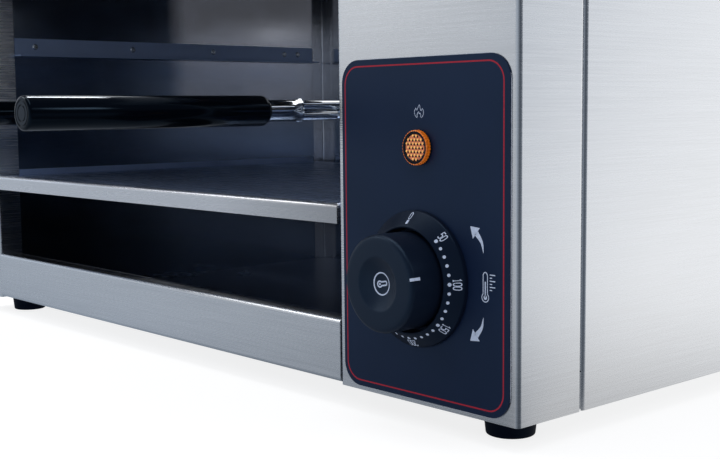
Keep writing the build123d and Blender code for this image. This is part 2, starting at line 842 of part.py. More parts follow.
with BuildPart() as thermostat_shaft:
    with BuildSketch(facing_user(front + sheet + shaft_pocket - shaft_gap)):
        with Locations((dial_x, dial_z)):
            Circle(shaft_radius)
    extrude(amount=sheet + shaft_pocket - shaft_gap + shaft_tip)
    with BuildSketch(facing_user(front - knob_back)):
        with Locations((dial_x, dial_z + shaft_radius - shaft_flat / 2)):
            Rectangle(2 * shaft_radius, shaft_flat)
    extrude(amount=shaft_tip, mode=Mode.SUBTRACT)
pieces["thermostat_shaft"] = thermostat_shaft.part

capillary_start = front + sheet + plate_thickness + thermostat_depth
bulb_right = wall_right - bulb_wall_gap
with BuildPart() as thermostat_bulb:
    with BuildLine() as capillary_line:
        FilletPolyline(
            (dial_x, capillary_start, dial_z),
            (dial_x, bulb_y, dial_z),
            (dial_x, bulb_y, bulb_z),
            (bulb_right, bulb_y, bulb_z),
            radius=capillary_bend,
        )
    with BuildSketch(Plane(origin=capillary_line.line @ 0, z_dir=capillary_line.line % 0)):
        Circle(capillary / 2)
    sweep(path=capillary_line.line)
    add_rod((bulb_right, bulb_y, bulb_z), (bulb_right - bulb_length, bulb_y, bulb_z), bulb_diameter)
pieces["thermostat_bulb"] = thermostat_bulb.part

with BuildPart() as bulb_clips:
    clip_radius = bulb_diameter / 2 + shaft_gap
    clip_outer = clip_radius + clip_thickness
    for share in clip_places:
        clip_x = bulb_right - share * bulb_length + clip_width / 2
        with BuildSketch(Plane.YZ.offset(clip_x)):
            with Locations((bulb_y, bulb_z)):
                Circle(clip_outer)
            with Locations((bulb_y + clip_outer - clip_thickness / 2, (bulb_z + roof - weld_gap) / 2)):
                Rectangle(clip_thickness, roof - weld_gap - bulb_z)
            with Locations((bulb_y + clip_outer + clip_foot / 2, roof - weld_gap - clip_thickness / 2)):
                Rectangle(clip_foot, clip_thickness)
            with Locations((bulb_y, bulb_z)):
                Circle(clip_radius, mode=Mode.SUBTRACT)
        extrude(amount=-clip_width)
pieces["bulb_clips"] = bulb_clips.part

# ---------------------------------------------------------------- overlay and pilot lamp
with BuildPart() as control_overlay:
    with BuildSketch(facing_user(front)):
        with Locations((right - right_column_width / 2, base + overlay_bottom + overlay_height / 2)):
            RectangleRounded(overlay_width, overlay_height, overlay_corner)
        with Locations((dial_x, dial_z)):
            Circle(overlay_window, mode=Mode.SUBTRACT)
        with Locations((lamp_x, lamp_z)):
            Circle(lamp_barrel / 2 + hole_gap, mode=Mode.SUBTRACT)
    extrude(amount=overlay_thickness)
pieces["control_overlay"] = control_overlay.part

with BuildPart() as pilot_lamp_body:
    with BuildSketch(facing_user(front - overlay_thickness)):
        with Locations((lamp_x, lamp_z)):
            Circle(lens_diameter / 2)
    extrude(amount=lamp_flange)
    with BuildSketch(facing_user(front - overlay_thickness)):
        with Locations((lamp_x, lamp_z)):
            Circle(lamp_barrel / 2)
    extrude(amount=-lamp_depth)
    with BuildSketch(facing_user(front - overlay_thickness + lamp_depth)):
        with Locations((lamp_x - lamp_tab_spacing / 2, lamp_z), (lamp_x + lamp_tab_spacing / 2, lamp_z)):
            Rectangle(lamp_tab_thickness, lamp_tab_width)
    extrude(amount=-lamp_tab_length)
pieces["pilot_lamp_body"] = pilot_lamp_body.part

with BuildPart() as pilot_lamp_lens:
    with BuildSketch(facing_user(front - overlay_thickness - lamp_flange)):
        with Locations((lamp_x, lamp_z)):
            Circle(lens_diameter / 2)
    extrude(amount=lens_reach)
    fillet(pilot_lamp_lens.faces().sort_by(Axis.Y)[0].edges(), radius=lens_edge)
pieces["pilot_lamp_lens"] = pilot_lamp_lens.part

pieces["pilot_lamp_nut"] = hex_nut(
    Plane(origin=(lamp_x, front + sheet + weld_gap, lamp_z), x_dir=(1, 0, 0), z_dir=(0, 1, 0)),
    lamp_nut_width, lamp_barrel / 2 + shaft_gap, lamp_nut_thickness,
)

# ---------------------------------------------------------------- cable inlet and terminal block
with BuildPart() as cable_gland:
    inlet = Plane(origin=(gland_x, back, gland_z), x_dir=(-1, 0, 0), z_dir=(0, 1, 0))
    with BuildSketch(inlet):
        RegularPolygon(gland_flat_width / 2, 6, major_radius=False)
    extrude(amount=gland_hex_thickness)
    with BuildSketch(inlet.offset(gland_hex_thickness)):
        Circle(gland_cap_radius)
    extrude(amount=gland_reach - gland_hex_thickness)
    fillet(cable_gland.faces().sort_by(Axis.Y)[-1].edges(), radius=gland_cap_round)
    with BuildSketch(inlet):
        Circle(gland_barrel / 2)
    extrude(amount=-gland_inside)
    with BuildSketch(inlet.offset(gland_reach)):
        Circle(gland_bore / 2)
    extrude(amount=-gland_reach - gland_inside, mode=Mode.SUBTRACT)
pieces["cable_gland"] = cable_gland.part

pieces["cable_gland_nut"] = hex_nut(
    Plane(origin=(gland_x, back - sheet - weld_gap, gland_z), x_dir=(1, 0, 0), z_dir=(0, -1, 0)),
    gland_nut_width, gland_barrel / 2 + shaft_gap, gland_nut_thickness,
)

block_y = back - block_setback
with BuildPart() as terminal_block:
    with BuildSketch(Plane.XY.offset(floor_top + weld_gap)):
        with Locations((dial_x, block_y)):
            Rectangle(block_poles * pole_pitch, block_depth)
    extrude(amount=block_height)
    with BuildSketch(Plane.XY.offset(floor_top + block_height / 2)):
        with Locations((dial_x, block_y)):
            with GridLocations(pole_pitch, block_depth / 2, block_poles, 2):
                Circle(pole_hole / 2)
    extrude(amount=block_height, mode=Mode.SUBTRACT)
    with BuildSketch(Plane.XY.offset(floor_top + block_height - groove_depth)):
        with Locations((dial_x, block_y)):
            with GridLocations(pole_pitch, 0, block_poles - 1, 1):
                Rectangle(groove_width, block_depth)
    extrude(amount=block_height, mode=Mode.SUBTRACT)
pieces["terminal_block"] = terminal_block.part

# ---------------------------------------------------------------- fasteners and feet
with BuildPart() as back_panel_screws:
    with BuildSketch(facing_user(back)):
        with Locations(*back_screw_places):
            Circle(screw_head_radius)
    extrude(amount=-screw_head)
    with BuildSketch(facing_user(back)):
        with Locations(*back_screw_places):
            Circle(screw_radius)
    extrude(amount=screw_length)
pieces["back_panel_screws"] = back_panel_screws.part

for place, (x, y) in foot_places.items():
    with BuildPart() as foot:
        with BuildSketch(Plane(origin=(x, y, 0), x_dir=(1, 0, 0), z_dir=(0, -1, 0))) as foot_half:
            with BuildLine():
                Polyline(
                    (foot_screw_radius + hole_gap, foot_height),
                    (foot_top_diameter / 2, foot_height),
                    (foot_bottom_diameter / 2, 0),
                    (foot_head_radius + hole_gap, 0),
                    (foot_head_radius + hole_gap, foot_recess),
                    (foot_screw_radius + hole_gap, foot_recess),
                    close=True,
                )
            make_face()
            fillet(foot_half.vertices().group_by(Axis.Y)[0].sort_by(Axis.X)[-1], radius=foot_edge)
        revolve(axis=Axis((x, y, 0), (0, 0, 1)))
    pieces[f"foot_{place}"] = foot.part

with BuildPart() as foot_screws:
    with BuildSketch(Plane.XY.offset(foot_recess)):
        with Locations(*foot_places.values()):
            Circle(foot_head_radius)
    extrude(amount=-foot_head)
    with BuildSketch(Plane.XY.offset(foot_recess)):
        with Locations(*foot_places.values()):
            Circle(foot_screw_radius)
    extrude(amount=foot_height + sheet + foot_screw_above - foot_recess)
pieces["foot_screws"] = foot_screws.part

# ---------------------------------------------------------------- files
os.makedirs("parts", exist_ok=True)
for name, piece in pieces.items():
    piece.label = name
    export_step(piece, f"parts/{name}.step")
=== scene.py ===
import functools
import math

import bmesh
import bpy
import numpy as np
from mathutils import Matrix, Vector


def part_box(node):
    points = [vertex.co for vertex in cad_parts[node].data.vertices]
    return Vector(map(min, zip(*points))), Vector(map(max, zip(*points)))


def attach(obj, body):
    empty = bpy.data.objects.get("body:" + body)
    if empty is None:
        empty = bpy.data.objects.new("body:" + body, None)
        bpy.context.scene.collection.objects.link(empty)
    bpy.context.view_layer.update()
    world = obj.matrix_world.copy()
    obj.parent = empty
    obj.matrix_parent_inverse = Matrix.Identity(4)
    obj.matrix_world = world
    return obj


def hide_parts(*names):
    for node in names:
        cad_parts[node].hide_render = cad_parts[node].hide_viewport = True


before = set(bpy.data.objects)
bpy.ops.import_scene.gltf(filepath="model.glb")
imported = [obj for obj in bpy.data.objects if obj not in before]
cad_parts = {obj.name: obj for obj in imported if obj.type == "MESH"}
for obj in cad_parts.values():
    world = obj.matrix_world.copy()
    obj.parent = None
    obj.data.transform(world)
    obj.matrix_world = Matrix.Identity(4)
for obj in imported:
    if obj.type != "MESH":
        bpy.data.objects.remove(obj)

bl_info = {
    "name": "Open-front electric grill",
    "version": (1, 0, 0),
    "blender": (4, 5, 0),
    "location": "View3D > Sidebar > Grill",
    "description": "Builds the visible pieces, finishes and studio of a stainless open-front grill",
    "category": "Add Mesh",
}

MM = 0.001
RIM = 64  # faces round a lathe-turned piece
PRINT_LIFT = 0.04  # thickness of a print, in mm
SUNK = 0.02  # a print starts this far inside the surface that carries it
SCRATCH = 0.00002  # depth of drawn and brushed scratches, in metres
PIT = 0.00003  # depth of moulded texture and scale, in metres
POINTER_TURN = math.radians(11.0)  # how far the pointer stands above the level at rest


def linear(code):
    """Turns an sRGB hex colour into linear red, green and blue."""
    parts = [int(code[i:i + 2], 16) / 255 for i in (0, 2, 4)]
    return tuple(c / 12.92 if c <= 0.04045 else ((c + 0.055) / 1.055) ** 2.4 for c in parts)


def span(*nodes):
    """Lowest and highest corner, in mm, of one or more CAD nodes."""
    boxes = [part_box(node) for node in nodes]
    low = np.min([np.array(b[0]) for b in boxes], 0) / MM
    high = np.max([np.array(b[1]) for b in boxes], 0) / MM
    return low, high


# ------------------------------------------------------------------ places, in mm, from the CAD nodes
BODY_LOW = span("top_cover")[0]
FRONT = BODY_LOW[1]
OVERLAY_LOW, OVERLAY_HIGH = span("control_overlay")
OVERLAY_FACE = OVERLAY_LOW[1]
RING_LOW, RING_HIGH = span("dial_bezel")
DIAL_X, DIAL_Z = (RING_LOW[0] + RING_HIGH[0]) / 2, (RING_LOW[2] + RING_HIGH[2]) / 2
KNOB_LOW, KNOB_HIGH = span("knob")
KNOB_RADIUS = (KNOB_HIGH[0] - KNOB_LOW[0]) / 2
KNOB_REACH = KNOB_HIGH[1] - KNOB_LOW[1]
LENS_LOW, LENS_HIGH = span("pilot_lamp_lens")
LAMP_X, LAMP_Z = (LENS_LOW[0] + LENS_HIGH[0]) / 2, (LENS_LOW[2] + LENS_HIGH[2]) / 2


# ------------------------------------------------------------------ settings
def size(name, description, default, **more):
    """A length in mm as an add-on setting."""
    return bpy.props.FloatProperty(name=name, description=description, default=default, min=0.0, **more)


def colour(name, description, code):
    """A colour as an add-on setting, from its sRGB hex value."""
    return bpy.props.FloatVectorProperty(
        name=name, description=description, default=linear(code), subtype="COLOR", size=3, min=0.0, max=1.0
    )


class GrillColours(bpy.types.PropertyGroup):
    """Colours of the grill's finishes."""

    outer_steel: colour("Outer steel", "Reflection of the brushed outer sheets", "eceef1")
    inner_steel: colour("Inner steel", "Reflection of the bright annealed cavity sheets", "c7c9cf")
    chrome: colour("Chrome", "Reflection of the plated rods and ferrules", "dbe0e6")
    overlay: colour("Overlay", "Printed ground of the control overlay", "111d38")
    outline: colour("Outline", "Red line round the control overlay", "b01c33")
    marks: colour("Marks", "Pale print on the overlay and the dial", "cbd8f0")
    knob: colour("Knob", "Moulded knob and dial ring", "0f1728")
    grip: colour("Grip", "Pressed phenolic grips", "03050a")
    amber: colour("Amber", "Pilot lamp lens", "e8761a")
    rubber: colour("Rubber", "Moulded feet", "0b101d")


class GripSizes(bpy.types.PropertyGroup):
    """Sizes of the handle grips, in mm."""

    front_edge: size("Front edge", "Rounding of the end towards the user", 1.6)
    rear_edge: size("Rear edge", "Rounding of the end at the ferrule", 4.5)
    ring_depth: size("Ring depth", "Depth of the rings in the end face", 0.4)
    crimp_flange: size("Crimp flange", "How far the pressed seams of the ferrule stand out", 0.9)


class RackSizes(bpy.types.PropertyGroup):
    """Sizes of the wire rack, in mm."""

    rod: size("Rod", "Diameter of the rim and the bars", 6.0)
    wire: size("Wire", "Diameter of the grid wires", 3.5)
    wires: bpy.props.IntProperty(name="Wires", description="Places in the grid", default=17, min=1)
    corner: size("Corner", "Radius of the rim's corners", 14.0)


class DialSizes(bpy.types.PropertyGroup):
    """Sizes of the dial and its marks."""

    dot_radius: size("Dot circle", "Radius of the circle of dots, in mm", 30.0)
    digit_foot: size("Digit foot", "Radius at which the figures start, in mm", 31.4)
    digit_height: size("Digit height", "Height of the figures, in mm", 3.0)
    stroke: size("Stroke", "Width of the lines of the figures, in mm", 0.4)
    start: size("First mark", "Angle of the mark for 50 degrees, anticlockwise from the right", 46.2)
    step: size("Step", "Angle between the marks for 10 degrees", 8.95)
    dish: size("Dish", "Radius of the dish in the knob's front, in mm", 13.8)
    dish_depth: size("Dish depth", "Depth of the dish, in mm", 3.8)


class OverlaySizes(bpy.types.PropertyGroup):
    """Sizes of the control overlay's print, in mm."""

    corner: size("Corner", "Corner radius of the overlay", 12.5)
    line: size("Line", "Width of the red line", 0.75)
    left: size("Left", "From the left edge to the red line", 2.6)
    right: size("Right", "From the right edge to the red line", 3.9)
    top: size("Top", "From the upper edge to the red line", 3.5)
    bottom: size("Bottom", "From the lower edge to the red line", 3.2)


class StudioSettings(bpy.types.PropertyGroup):
    """Camera and light of the studio."""

    lens: bpy.props.FloatProperty(
        name="Lens", description="Focal length", default=58.58, min=1.0, unit="CAMERA"
    )
    ambient: bpy.props.FloatProperty(
        name="Ambient", description="Strength of the light from all around", default=0.55, min=0.0
    )
    lamp: bpy.props.FloatProperty(
        name="Lamp", description="Power of the overhead lamp", default=6.0, min=0.0, unit="POWER"
    )


# ------------------------------------------------------------------ surfaces
def grid_faces(rows, columns, around):
    """Quads between neighbouring points of a grid of rows by columns. Around joins the last column to the
    first."""
    row = np.arange(rows - 1)[:, None]
    column = np.arange(columns if around else columns - 1)[None, :]
    after = (column + 1) % columns
    corners = [row * columns + column, row * columns + after,
               (row + 1) * columns + after, (row + 1) * columns + column]
    return np.stack(np.broadcast_arrays(*corners), -1).reshape(-1, 4)


def tube_faces(rows, columns, closed):
    """Faces of a tube of rows by columns. A closed tube joins its last row to its first, and an open one has
    a flat face at both ends."""
    faces = grid_faces(rows, columns, True).tolist()
    column = np.arange(columns)
    last = (rows - 1) * columns
    if closed:
        after = (column + 1) % columns
        return faces + np.stack([last + column, last + after, after, column], -1).tolist()
    return [*faces, column[::-1].tolist(), (last + column).tolist()]


def rounded(points, radii, steps=8):
    """Open line through flat points with every inner corner rounded to its radius.
    A corner's arc starts radius times the tangent of half the turn before the corner, and its points lie
    on the circle between the two runs. A radius of 0 keeps the corner sharp."""
    points = np.asarray(points, float)
    radii = np.broadcast_to(radii, len(points))
    line = [points[:1]]
    for before, corner, after, radius in zip(points[:-2], points[1:-1], points[2:], radii[1:-1]):
        come = (corner - before) / np.linalg.norm(corner - before)
        go = (after - corner) / np.linalg.norm(after - corner)
        turn = math.atan2(come[0] * go[1] - come[1] * go[0], come @ go)
        if radius <= 0 or abs(turn) < 1e-6:
            line.append(corner[None])
            continue
        inward = math.copysign(1, turn) * np.array([-come[1], come[0]])
        centre = corner - come * radius * math.tan(abs(turn) / 2) + inward * radius
        angle = np.linspace(0, turn, steps + 1)[:, None]
        spoke = -inward * radius
        line.append(centre + spoke * np.cos(angle) + np.array([-spoke[1], spoke[0]]) * np.sin(angle))
    line.append(points[-1:])
    return np.concatenate(line)


def lathe(profile, origin, axis, rim=RIM):
    """Surface of revolution: a point of the profile (radius, reach) at angle t lies at
    origin + reach * axis + radius * (u cos t + v sin t), with u and v square to the axis."""
    profile = np.asarray(profile, float)
    axis = np.asarray(axis, float)
    u = np.cross(axis, (0, 0, 1) if abs(axis[2]) < 0.9 else (1, 0, 0))
    u /= np.linalg.norm(u)
    v = np.cross(axis, u)
    angle = np.arange(rim) * 2 * np.pi / rim
    ring = np.cos(angle)[:, None] * u + np.sin(angle)[:, None] * v
    points = (np.asarray(origin, float) + profile[:, 1, None, None] * axis
              + profile[:, 0, None, None] * ring)
    return points.reshape(-1, 3), grid_faces(len(profile), rim, True)


def swept(path, outline, up=(0, 0, 1), closed=False):
    """Outline (side, height) carried along a path: each point of the path gets side * (tangent x up) +
    height * up, with the tangent the mean of the two runs that meet there."""
    path = np.asarray(path, float)
    up = np.asarray(up, float)
    if closed:
        tangent = np.roll(path, -1, 0) - np.roll(path, 1, 0)
    else:
        tangent = np.gradient(path, axis=0)
    tangent /= np.linalg.norm(tangent, axis=1)[:, None]
    side = np.cross(tangent, up)
    side /= np.linalg.norm(side, axis=1)[:, None]
    outline = np.asarray(outline, float)
    points = (path[:, None] + outline[None, :, 0, None] * side[:, None] + outline[None, :, 1, None] * up)
    return points.reshape(-1, 3), tube_faces(len(path), len(outline), closed)


def circle(diameter, sides=20):
    """Points of a circle round the origin."""
    angle = np.arange(sides) * 2 * np.pi / sides
    return diameter / 2 * np.stack([np.cos(angle), np.sin(angle)], 1)


def arc(centre, radius, first, last, steps):
    """Points of an arc round a centre, from the first angle to the last, in degrees."""
    angle = np.radians(np.linspace(first, last, steps))
    return np.asarray(centre) + radius * np.stack([np.cos(angle), np.sin(angle)], 1)


def bar(start, end, diameter, edge=0.5, rim=20):
    """Straight round bar between two points, its ends rounded off by the edge."""
    start, end = np.asarray(start, float), np.asarray(end, float)
    length = np.linalg.norm(end - start)
    radius = diameter / 2
    profile = rounded([(0, 0), (radius, 0), (radius, length), (0, length)], edge, 3)
    return lathe(profile, start, (end - start) / length, rim)


def ribbon(path, width, place, closed=False):
    """Flat printed line: at every point of the path it reaches half its width to each side, square to the
    mean of the runs that meet there and longer by one over the cosine of half the turn. Place maps flat (u,
    v) and a lift to a point of the surface that carries it."""
    path = np.asarray(path, float)
    width = np.broadcast_to(width, len(path))
    ahead = np.roll(path, -1, 0) - path
    behind = path - np.roll(path, 1, 0)
    if not closed:
        ahead[-1], behind[0] = behind[-1], ahead[0]
    ahead /= np.linalg.norm(ahead, axis=1)[:, None]
    behind /= np.linalg.norm(behind, axis=1)[:, None]
    mean = ahead + behind
    mean /= np.maximum(np.linalg.norm(mean, axis=1)[:, None], 1e-9)
    stretch = 1 / np.maximum(np.sum(mean * ahead, 1), 0.6)
    half = np.stack([-mean[:, 1], mean[:, 0]], 1) * (width / 2 * stretch)[:, None]
    left, right = path + half, path - half
    points = np.stack([place(left, PRINT_LIFT), place(right, PRINT_LIFT),
                       place(right, -SUNK), place(left, -SUNK)], 1)
    return points.reshape(-1, 3), tube_faces(len(path), 4, closed)


def dot(centre, radius, place, sides=14):
    """Printed dot: a small disc whose middle and rim lie on the carrying surface."""
    rim = np.asarray(centre) + circle(2 * radius, sides)
    middle = np.asarray(centre, float)[None]
    points = np.concatenate([place(middle, PRINT_LIFT), place(rim, PRINT_LIFT), place(rim, -SUNK),
                             place(middle, -SUNK)])
    one = np.arange(sides)
    two = (one + 1) % sides
    top = np.stack([np.zeros(sides, int), 1 + one, 1 + two], -1)
    wall = np.stack([1 + one, 1 + sides + one, 1 + sides + two, 1 + two], -1)
    under = np.stack([np.full(sides, 2 * sides + 1), 1 + sides + two, 1 + sides + one], -1)
    return points, [*top.tolist(), *wall.tolist(), *under.tolist()]


def on_overlay(flat, lift):
    """Flat (x, z) on the face of the overlay."""
    return np.stack([flat[:, 0], np.full(len(flat), OVERLAY_FACE - lift), flat[:, 1]], 1)


def add_piece(name, surfaces, body, material, nodes=(), sharp=35.0, merge=True):
    """Makes one object from surfaces in mm: merges doubles, turns the faces outwards, and shades it smooth
    except where two faces meet at more than the sharp angle."""
    mesh = bpy.data.meshes.new(name)
    points, faces, start = [], [], 0
    for surface_points, surface_faces in surfaces:
        points.append(surface_points)
        faces.extend((np.asarray(face) + start).tolist() for face in surface_faces)
        start += len(surface_points)
    mesh.from_pydata((np.concatenate(points) * MM).tolist(), [], faces)
    shape = bmesh.new()
    shape.from_mesh(mesh)
    if merge:
        bmesh.ops.remove_doubles(shape, verts=shape.verts, dist=1e-7)
        bmesh.ops.dissolve_degenerate(shape, edges=shape.edges, dist=1e-8)
    bmesh.ops.recalc_face_normals(shape, faces=shape.faces)
    shape.to_mesh(mesh)
    shape.free()
    mesh.shade_smooth()
    mesh.set_sharp_from_angle(angle=math.radians(sharp))
    piece = bpy.data.objects.new(name, mesh)
    bpy.context.scene.collection.objects.link(piece)
    piece.data.materials.append(material)
    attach(piece, body)
    if nodes:
        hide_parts(*nodes)
    return piece


# ------------------------------------------------------------------ finishes
def add_node(tree, kind, inputs=None, **settings):
    """Adds a node, sets its settings, and fills its inputs with values or links."""
    node = tree.nodes.new(kind)
    for name, value in settings.items():
        setattr(node, name, value)
    for key, value in (inputs or {}).items():
        if isinstance(value, bpy.types.NodeSocket):
            tree.links.new(value, node.inputs[key])
        else:
            node.inputs[key].default_value = value
    return node


def built_once(build):
    """Makes a finish's function return the material of its name where that is there already."""
    @functools.wraps(build)
    def finish(name, *values):
        return bpy.data.materials.get(name) or build(name, *values)
    return finish


def new_finish(name, **sockets):
    """Material with one Principled shader whose constant sockets are given by name, with _ for a space."""
    material = bpy.data.materials.new(name)
    material.use_nodes = True
    tree = material.node_tree
    tree.nodes.clear()
    shader = add_node(tree, "ShaderNodeBsdfPrincipled")
    for key, value in sockets.items():
        shader.inputs[key.replace("_", " ")].default_value = value
    add_node(tree, "ShaderNodeOutputMaterial", {"Surface": shader.outputs["BSDF"]})
    return material, tree, shader


def drive(tree, shader, **sockets):
    """Links values to the shader's sockets, given by name with _ for a space."""
    for key, value in sockets.items():
        tree.links.new(value, shader.inputs[key.replace("_", " ")])


def axes(tree):
    """Object coordinates in metres, one output each for X, Y and Z."""
    place = add_node(tree, "ShaderNodeTexCoord")
    return add_node(tree, "ShaderNodeSeparateXYZ", {"Vector": place.outputs["Object"]}).outputs


def grain(tree, scale, detail=3.0, roughness=0.6):
    """Noise on Object coordinates with its own scale per metre along each axis."""
    place = add_node(tree, "ShaderNodeTexCoord")
    turned = add_node(tree, "ShaderNodeMapping", {"Vector": place.outputs["Object"], "Scale": scale})
    noise = add_node(tree, "ShaderNodeTexNoise", {"Vector": turned.outputs["Vector"], "Scale": 1.0,
                                                  "Detail": detail, "Roughness": roughness})
    return noise.outputs["Fac"]


def spread(tree, value, low=0.0, high=1.0, start=0.3, end=0.7, ease="LINEAR"):
    """Maps a value between start and end to the range low to high."""
    node = add_node(tree, "ShaderNodeMapRange", {"Value": value, "From Min": start, "From Max": end,
                                                 "To Min": low, "To Max": high}, interpolation_type=ease)
    return node.outputs["Result"]


def reckoned(tree, operation, first, second):
    """Result of one sum on two values."""
    return add_node(tree, "ShaderNodeMath", {0: first, 1: second}, operation=operation).outputs["Value"]


def blended(tree, factor, first, second):
    """Mixes two colours by a factor. Each colour is a link, or its red, green and blue."""
    first, second = [colour if isinstance(colour, bpy.types.NodeSocket) else (*colour, 1.0)
                     for colour in (first, second)]
    return add_node(tree, "ShaderNodeMix", {0: factor, 6: first, 7: second}, data_type="RGBA").outputs[2]


def tinted(tree, value, base, low, high):
    """The base colour times a level that follows a noise value from low to high."""
    dark, light = [[min(1.0, part * level) for part in base] for level in (low, high)]
    return blended(tree, spread(tree, value), dark, light)


def relief(tree, shader, height, strength, distance):
    """Bump from a height, with its depth in metres."""
    bump = add_node(tree, "ShaderNodeBump", {"Height": height, "Strength": strength, "Distance": distance})
    drive(tree, shader, Normal=bump.outputs["Normal"])


@built_once
def brushed_steel(name, base, streaks, rough, axis):
    """Stainless steel 1.4301, belt-brushed: fine parallel scratches, spaced about 0.6 mm as drawn, real ones
    are finer, which give the eye reflections that run out square to the scratches and a silky streaked
    tone."""
    material, tree, shader = new_finish(name, Metallic=1.0, Anisotropic=0.7, Anisotropic_Rotation=0.25)
    along = add_node(tree, "ShaderNodeTangent", direction_type="RADIAL", axis=axis)
    fine = grain(tree, streaks)
    broad = grain(tree, (9.0, 9.0, 14.0), 4.0, 0.55)
    drive(tree, shader, Tangent=along.outputs["Tangent"], Base_Color=tinted(tree, fine, base, 0.95, 1.04),
          Roughness=reckoned(tree, "ADD", spread(tree, broad, -0.015, 0.015),
                             spread(tree, fine, rough - 0.03, rough + 0.04)))
    relief(tree, shader, fine, 0.12, SCRATCH)
    return material


@built_once
def sheet_steel(name, base, rough):
    """Stainless steel 1.4016, bright annealed: a mill finish that mirrors dimly, with faint roller lines
    along the sheet and a thin veil of wiping marks."""
    material, tree, shader = new_finish(name, Metallic=1.0, Anisotropic=0.2)
    roll = grain(tree, (12.0, 12.0, 900.0), 2.0)
    veil = grain(tree, (22.0, 22.0, 22.0), 5.0, 0.62)
    drive(tree, shader, Base_Color=tinted(tree, veil, base, 0.94, 1.04),
          Roughness=reckoned(tree, "ADD", spread(tree, veil, rough - 0.03, rough + 0.05),
                             spread(tree, roll, -0.02, 0.02)))
    relief(tree, shader, roll, 0.12, SCRATCH)
    return material


@built_once
def wall_steel(name, base, painted_shade, rough):
    """Stainless steel 1.4016, bright annealed, as a cavity wall, with painted shade and painted light: its
    lower and its front part take a darker colour as painted shade, and the rest keeps at its top a faint
    painted glow that stands in for the light that goes to and fro between the sheets."""
    material, tree, shader = new_finish(name, Metallic=1.0, Anisotropic=0.2, Emission_Strength=1.0)
    where = axes(tree)  # the starts and ends are places in metres
    rear = spread(tree, where["Y"], start=0.045, end=0.065)
    raised = spread(tree, where["Z"], start=0.146, end=0.18)
    upper = spread(tree, where["Z"], start=0.19, end=0.25)
    veil = grain(tree, (22.0, 22.0, 22.0), 5.0, 0.62)
    # painted light: an emission glow on the upper rear of the wall
    glow = reckoned(tree, "MULTIPLY", upper, rear)
    # painted shade: the wall takes the darker colour low down and at its front
    drive(tree, shader, Base_Color=blended(tree, reckoned(tree, "MULTIPLY", raised, rear), painted_shade, base),
          Roughness=spread(tree, veil, rough - 0.03, rough + 0.05),
          Emission_Color=blended(tree, glow, (0.0, 0.0, 0.0), (0.045, 0.047, 0.055)))
    return material


@built_once
def shelf_steel(name, bright, painted_shade, rough):
    """Stainless steel 1.4016 tray, with painted light and shade: its folded front is bright, with a painted
    darker reflection towards its end beside the control column, and the top behind the fold takes a darker
    blue colour as painted shade: a pale lip before a dusky blue surface."""
    material, tree, shader = new_finish(name, Metallic=1.0)
    where = axes(tree)
    behind = spread(tree, where["Y"], start=(FRONT + 0.6) * MM, end=(FRONT + 5.0) * MM)
    # painted reflection: the lip grows darker towards the control column
    painted_dim_end = spread(tree, where["X"], start=0.05, end=0.165)
    lip = blended(tree, painted_dim_end, bright, [0.62 * level for level in bright])
    streak = grain(tree, (18.0, 900.0, 900.0))
    # painted shade: the top behind the fold takes the darker blue colour
    drive(tree, shader, Base_Color=blended(tree, behind, lip, painted_shade),
          Roughness=spread(tree, streak, rough - 0.03, rough + 0.04))
    relief(tree, shader, streak, 0.1, SCRATCH)
    return material


@built_once
def plated_metal(name, base, rough):
    """Nickel-chrome or zinc plate on drawn wire and turned parts: a bright skin with a slight drawing
    grain."""
    material, tree, shader = new_finish(name, Metallic=1.0)
    skin = grain(tree, (160.0, 160.0, 160.0))
    drive(tree, shader, Base_Color=tinted(tree, skin, base, 0.9, 1.05),
          Roughness=spread(tree, skin, rough * 0.7, rough * 1.4))
    relief(tree, shader, skin, 0.08, SCRATCH)
    return material


@built_once
def heated_sheath(name):
    """Nickel alloy tube, drawn, annealed and run hot: a dull grey brown with blue and straw tempering
    patches."""
    material, tree, shader = new_finish(name, Metallic=1.0)
    patch = grain(tree, (18.0, 60.0, 60.0), 4.0)
    ramp = add_node(tree, "ShaderNodeValToRGB", {"Fac": patch})
    for element, place, code in zip(ramp.color_ramp.elements, (0.36, 0.66), ("3c4048", "6d655b")):
        element.position = place
        element.color = (*linear(code), 1.0)
    drive(tree, shader, Base_Color=ramp.outputs["Color"], Roughness=spread(tree, patch, 0.42, 0.62))
    relief(tree, shader, patch, 0.1, PIT)
    return material


@built_once
def moulded_plastic(name, base, rough, texture, specular=0.5, tint=(1.0, 1.0, 1.0)):
    """Injection-moulded or pressed polymer with a fine eroded texture, its grain size in mm: an even tone
    whose highlights break up slightly and take the tint of its pigment."""
    material, tree, shader = new_finish(name, Specular_IOR_Level=specular, Specular_Tint=(*tint, 1.0))
    pits = grain(tree, (1 / (texture * MM),) * 3, 2.0)
    cloud = grain(tree, (25.0, 25.0, 25.0), 4.0)
    drive(tree, shader, Base_Color=tinted(tree, cloud, base, 0.92, 1.1),
          Roughness=reckoned(tree, "ADD", spread(tree, cloud, rough - 0.03, rough + 0.03),
                             spread(tree, pits, -0.03, 0.03)))
    relief(tree, shader, pits, 0.2, PIT)
    return material


@built_once
def printed_ink(name, base):
    """Screen-printed ink on film: an even matt colour with a slight mottle."""
    material, tree, shader = new_finish(name, Specular_IOR_Level=0.3)
    mottle = grain(tree, (500.0, 500.0, 500.0), 2.0)
    drive(tree, shader, Base_Color=tinted(tree, mottle, base, 0.9, 1.05),
          Roughness=spread(tree, mottle, 0.42, 0.55))
    return material


@built_once
def amber_lens(name, base, glow, rough):
    """Polycarbonate, injection-moulded and dyed amber: glossy and lit through, deeper where it is thick."""
    material, tree, shader = new_finish(name, Specular_IOR_Level=0.6, IOR=1.58, Emission_Strength=glow)
    depth = grain(tree, (900.0, 900.0, 900.0), 2.0)
    dye = tinted(tree, depth, base, 0.7, 1.3)
    drive(tree, shader, Base_Color=dye, Emission_Color=dye, Roughness=spread(tree, depth, rough, rough + 0.1))
    return material


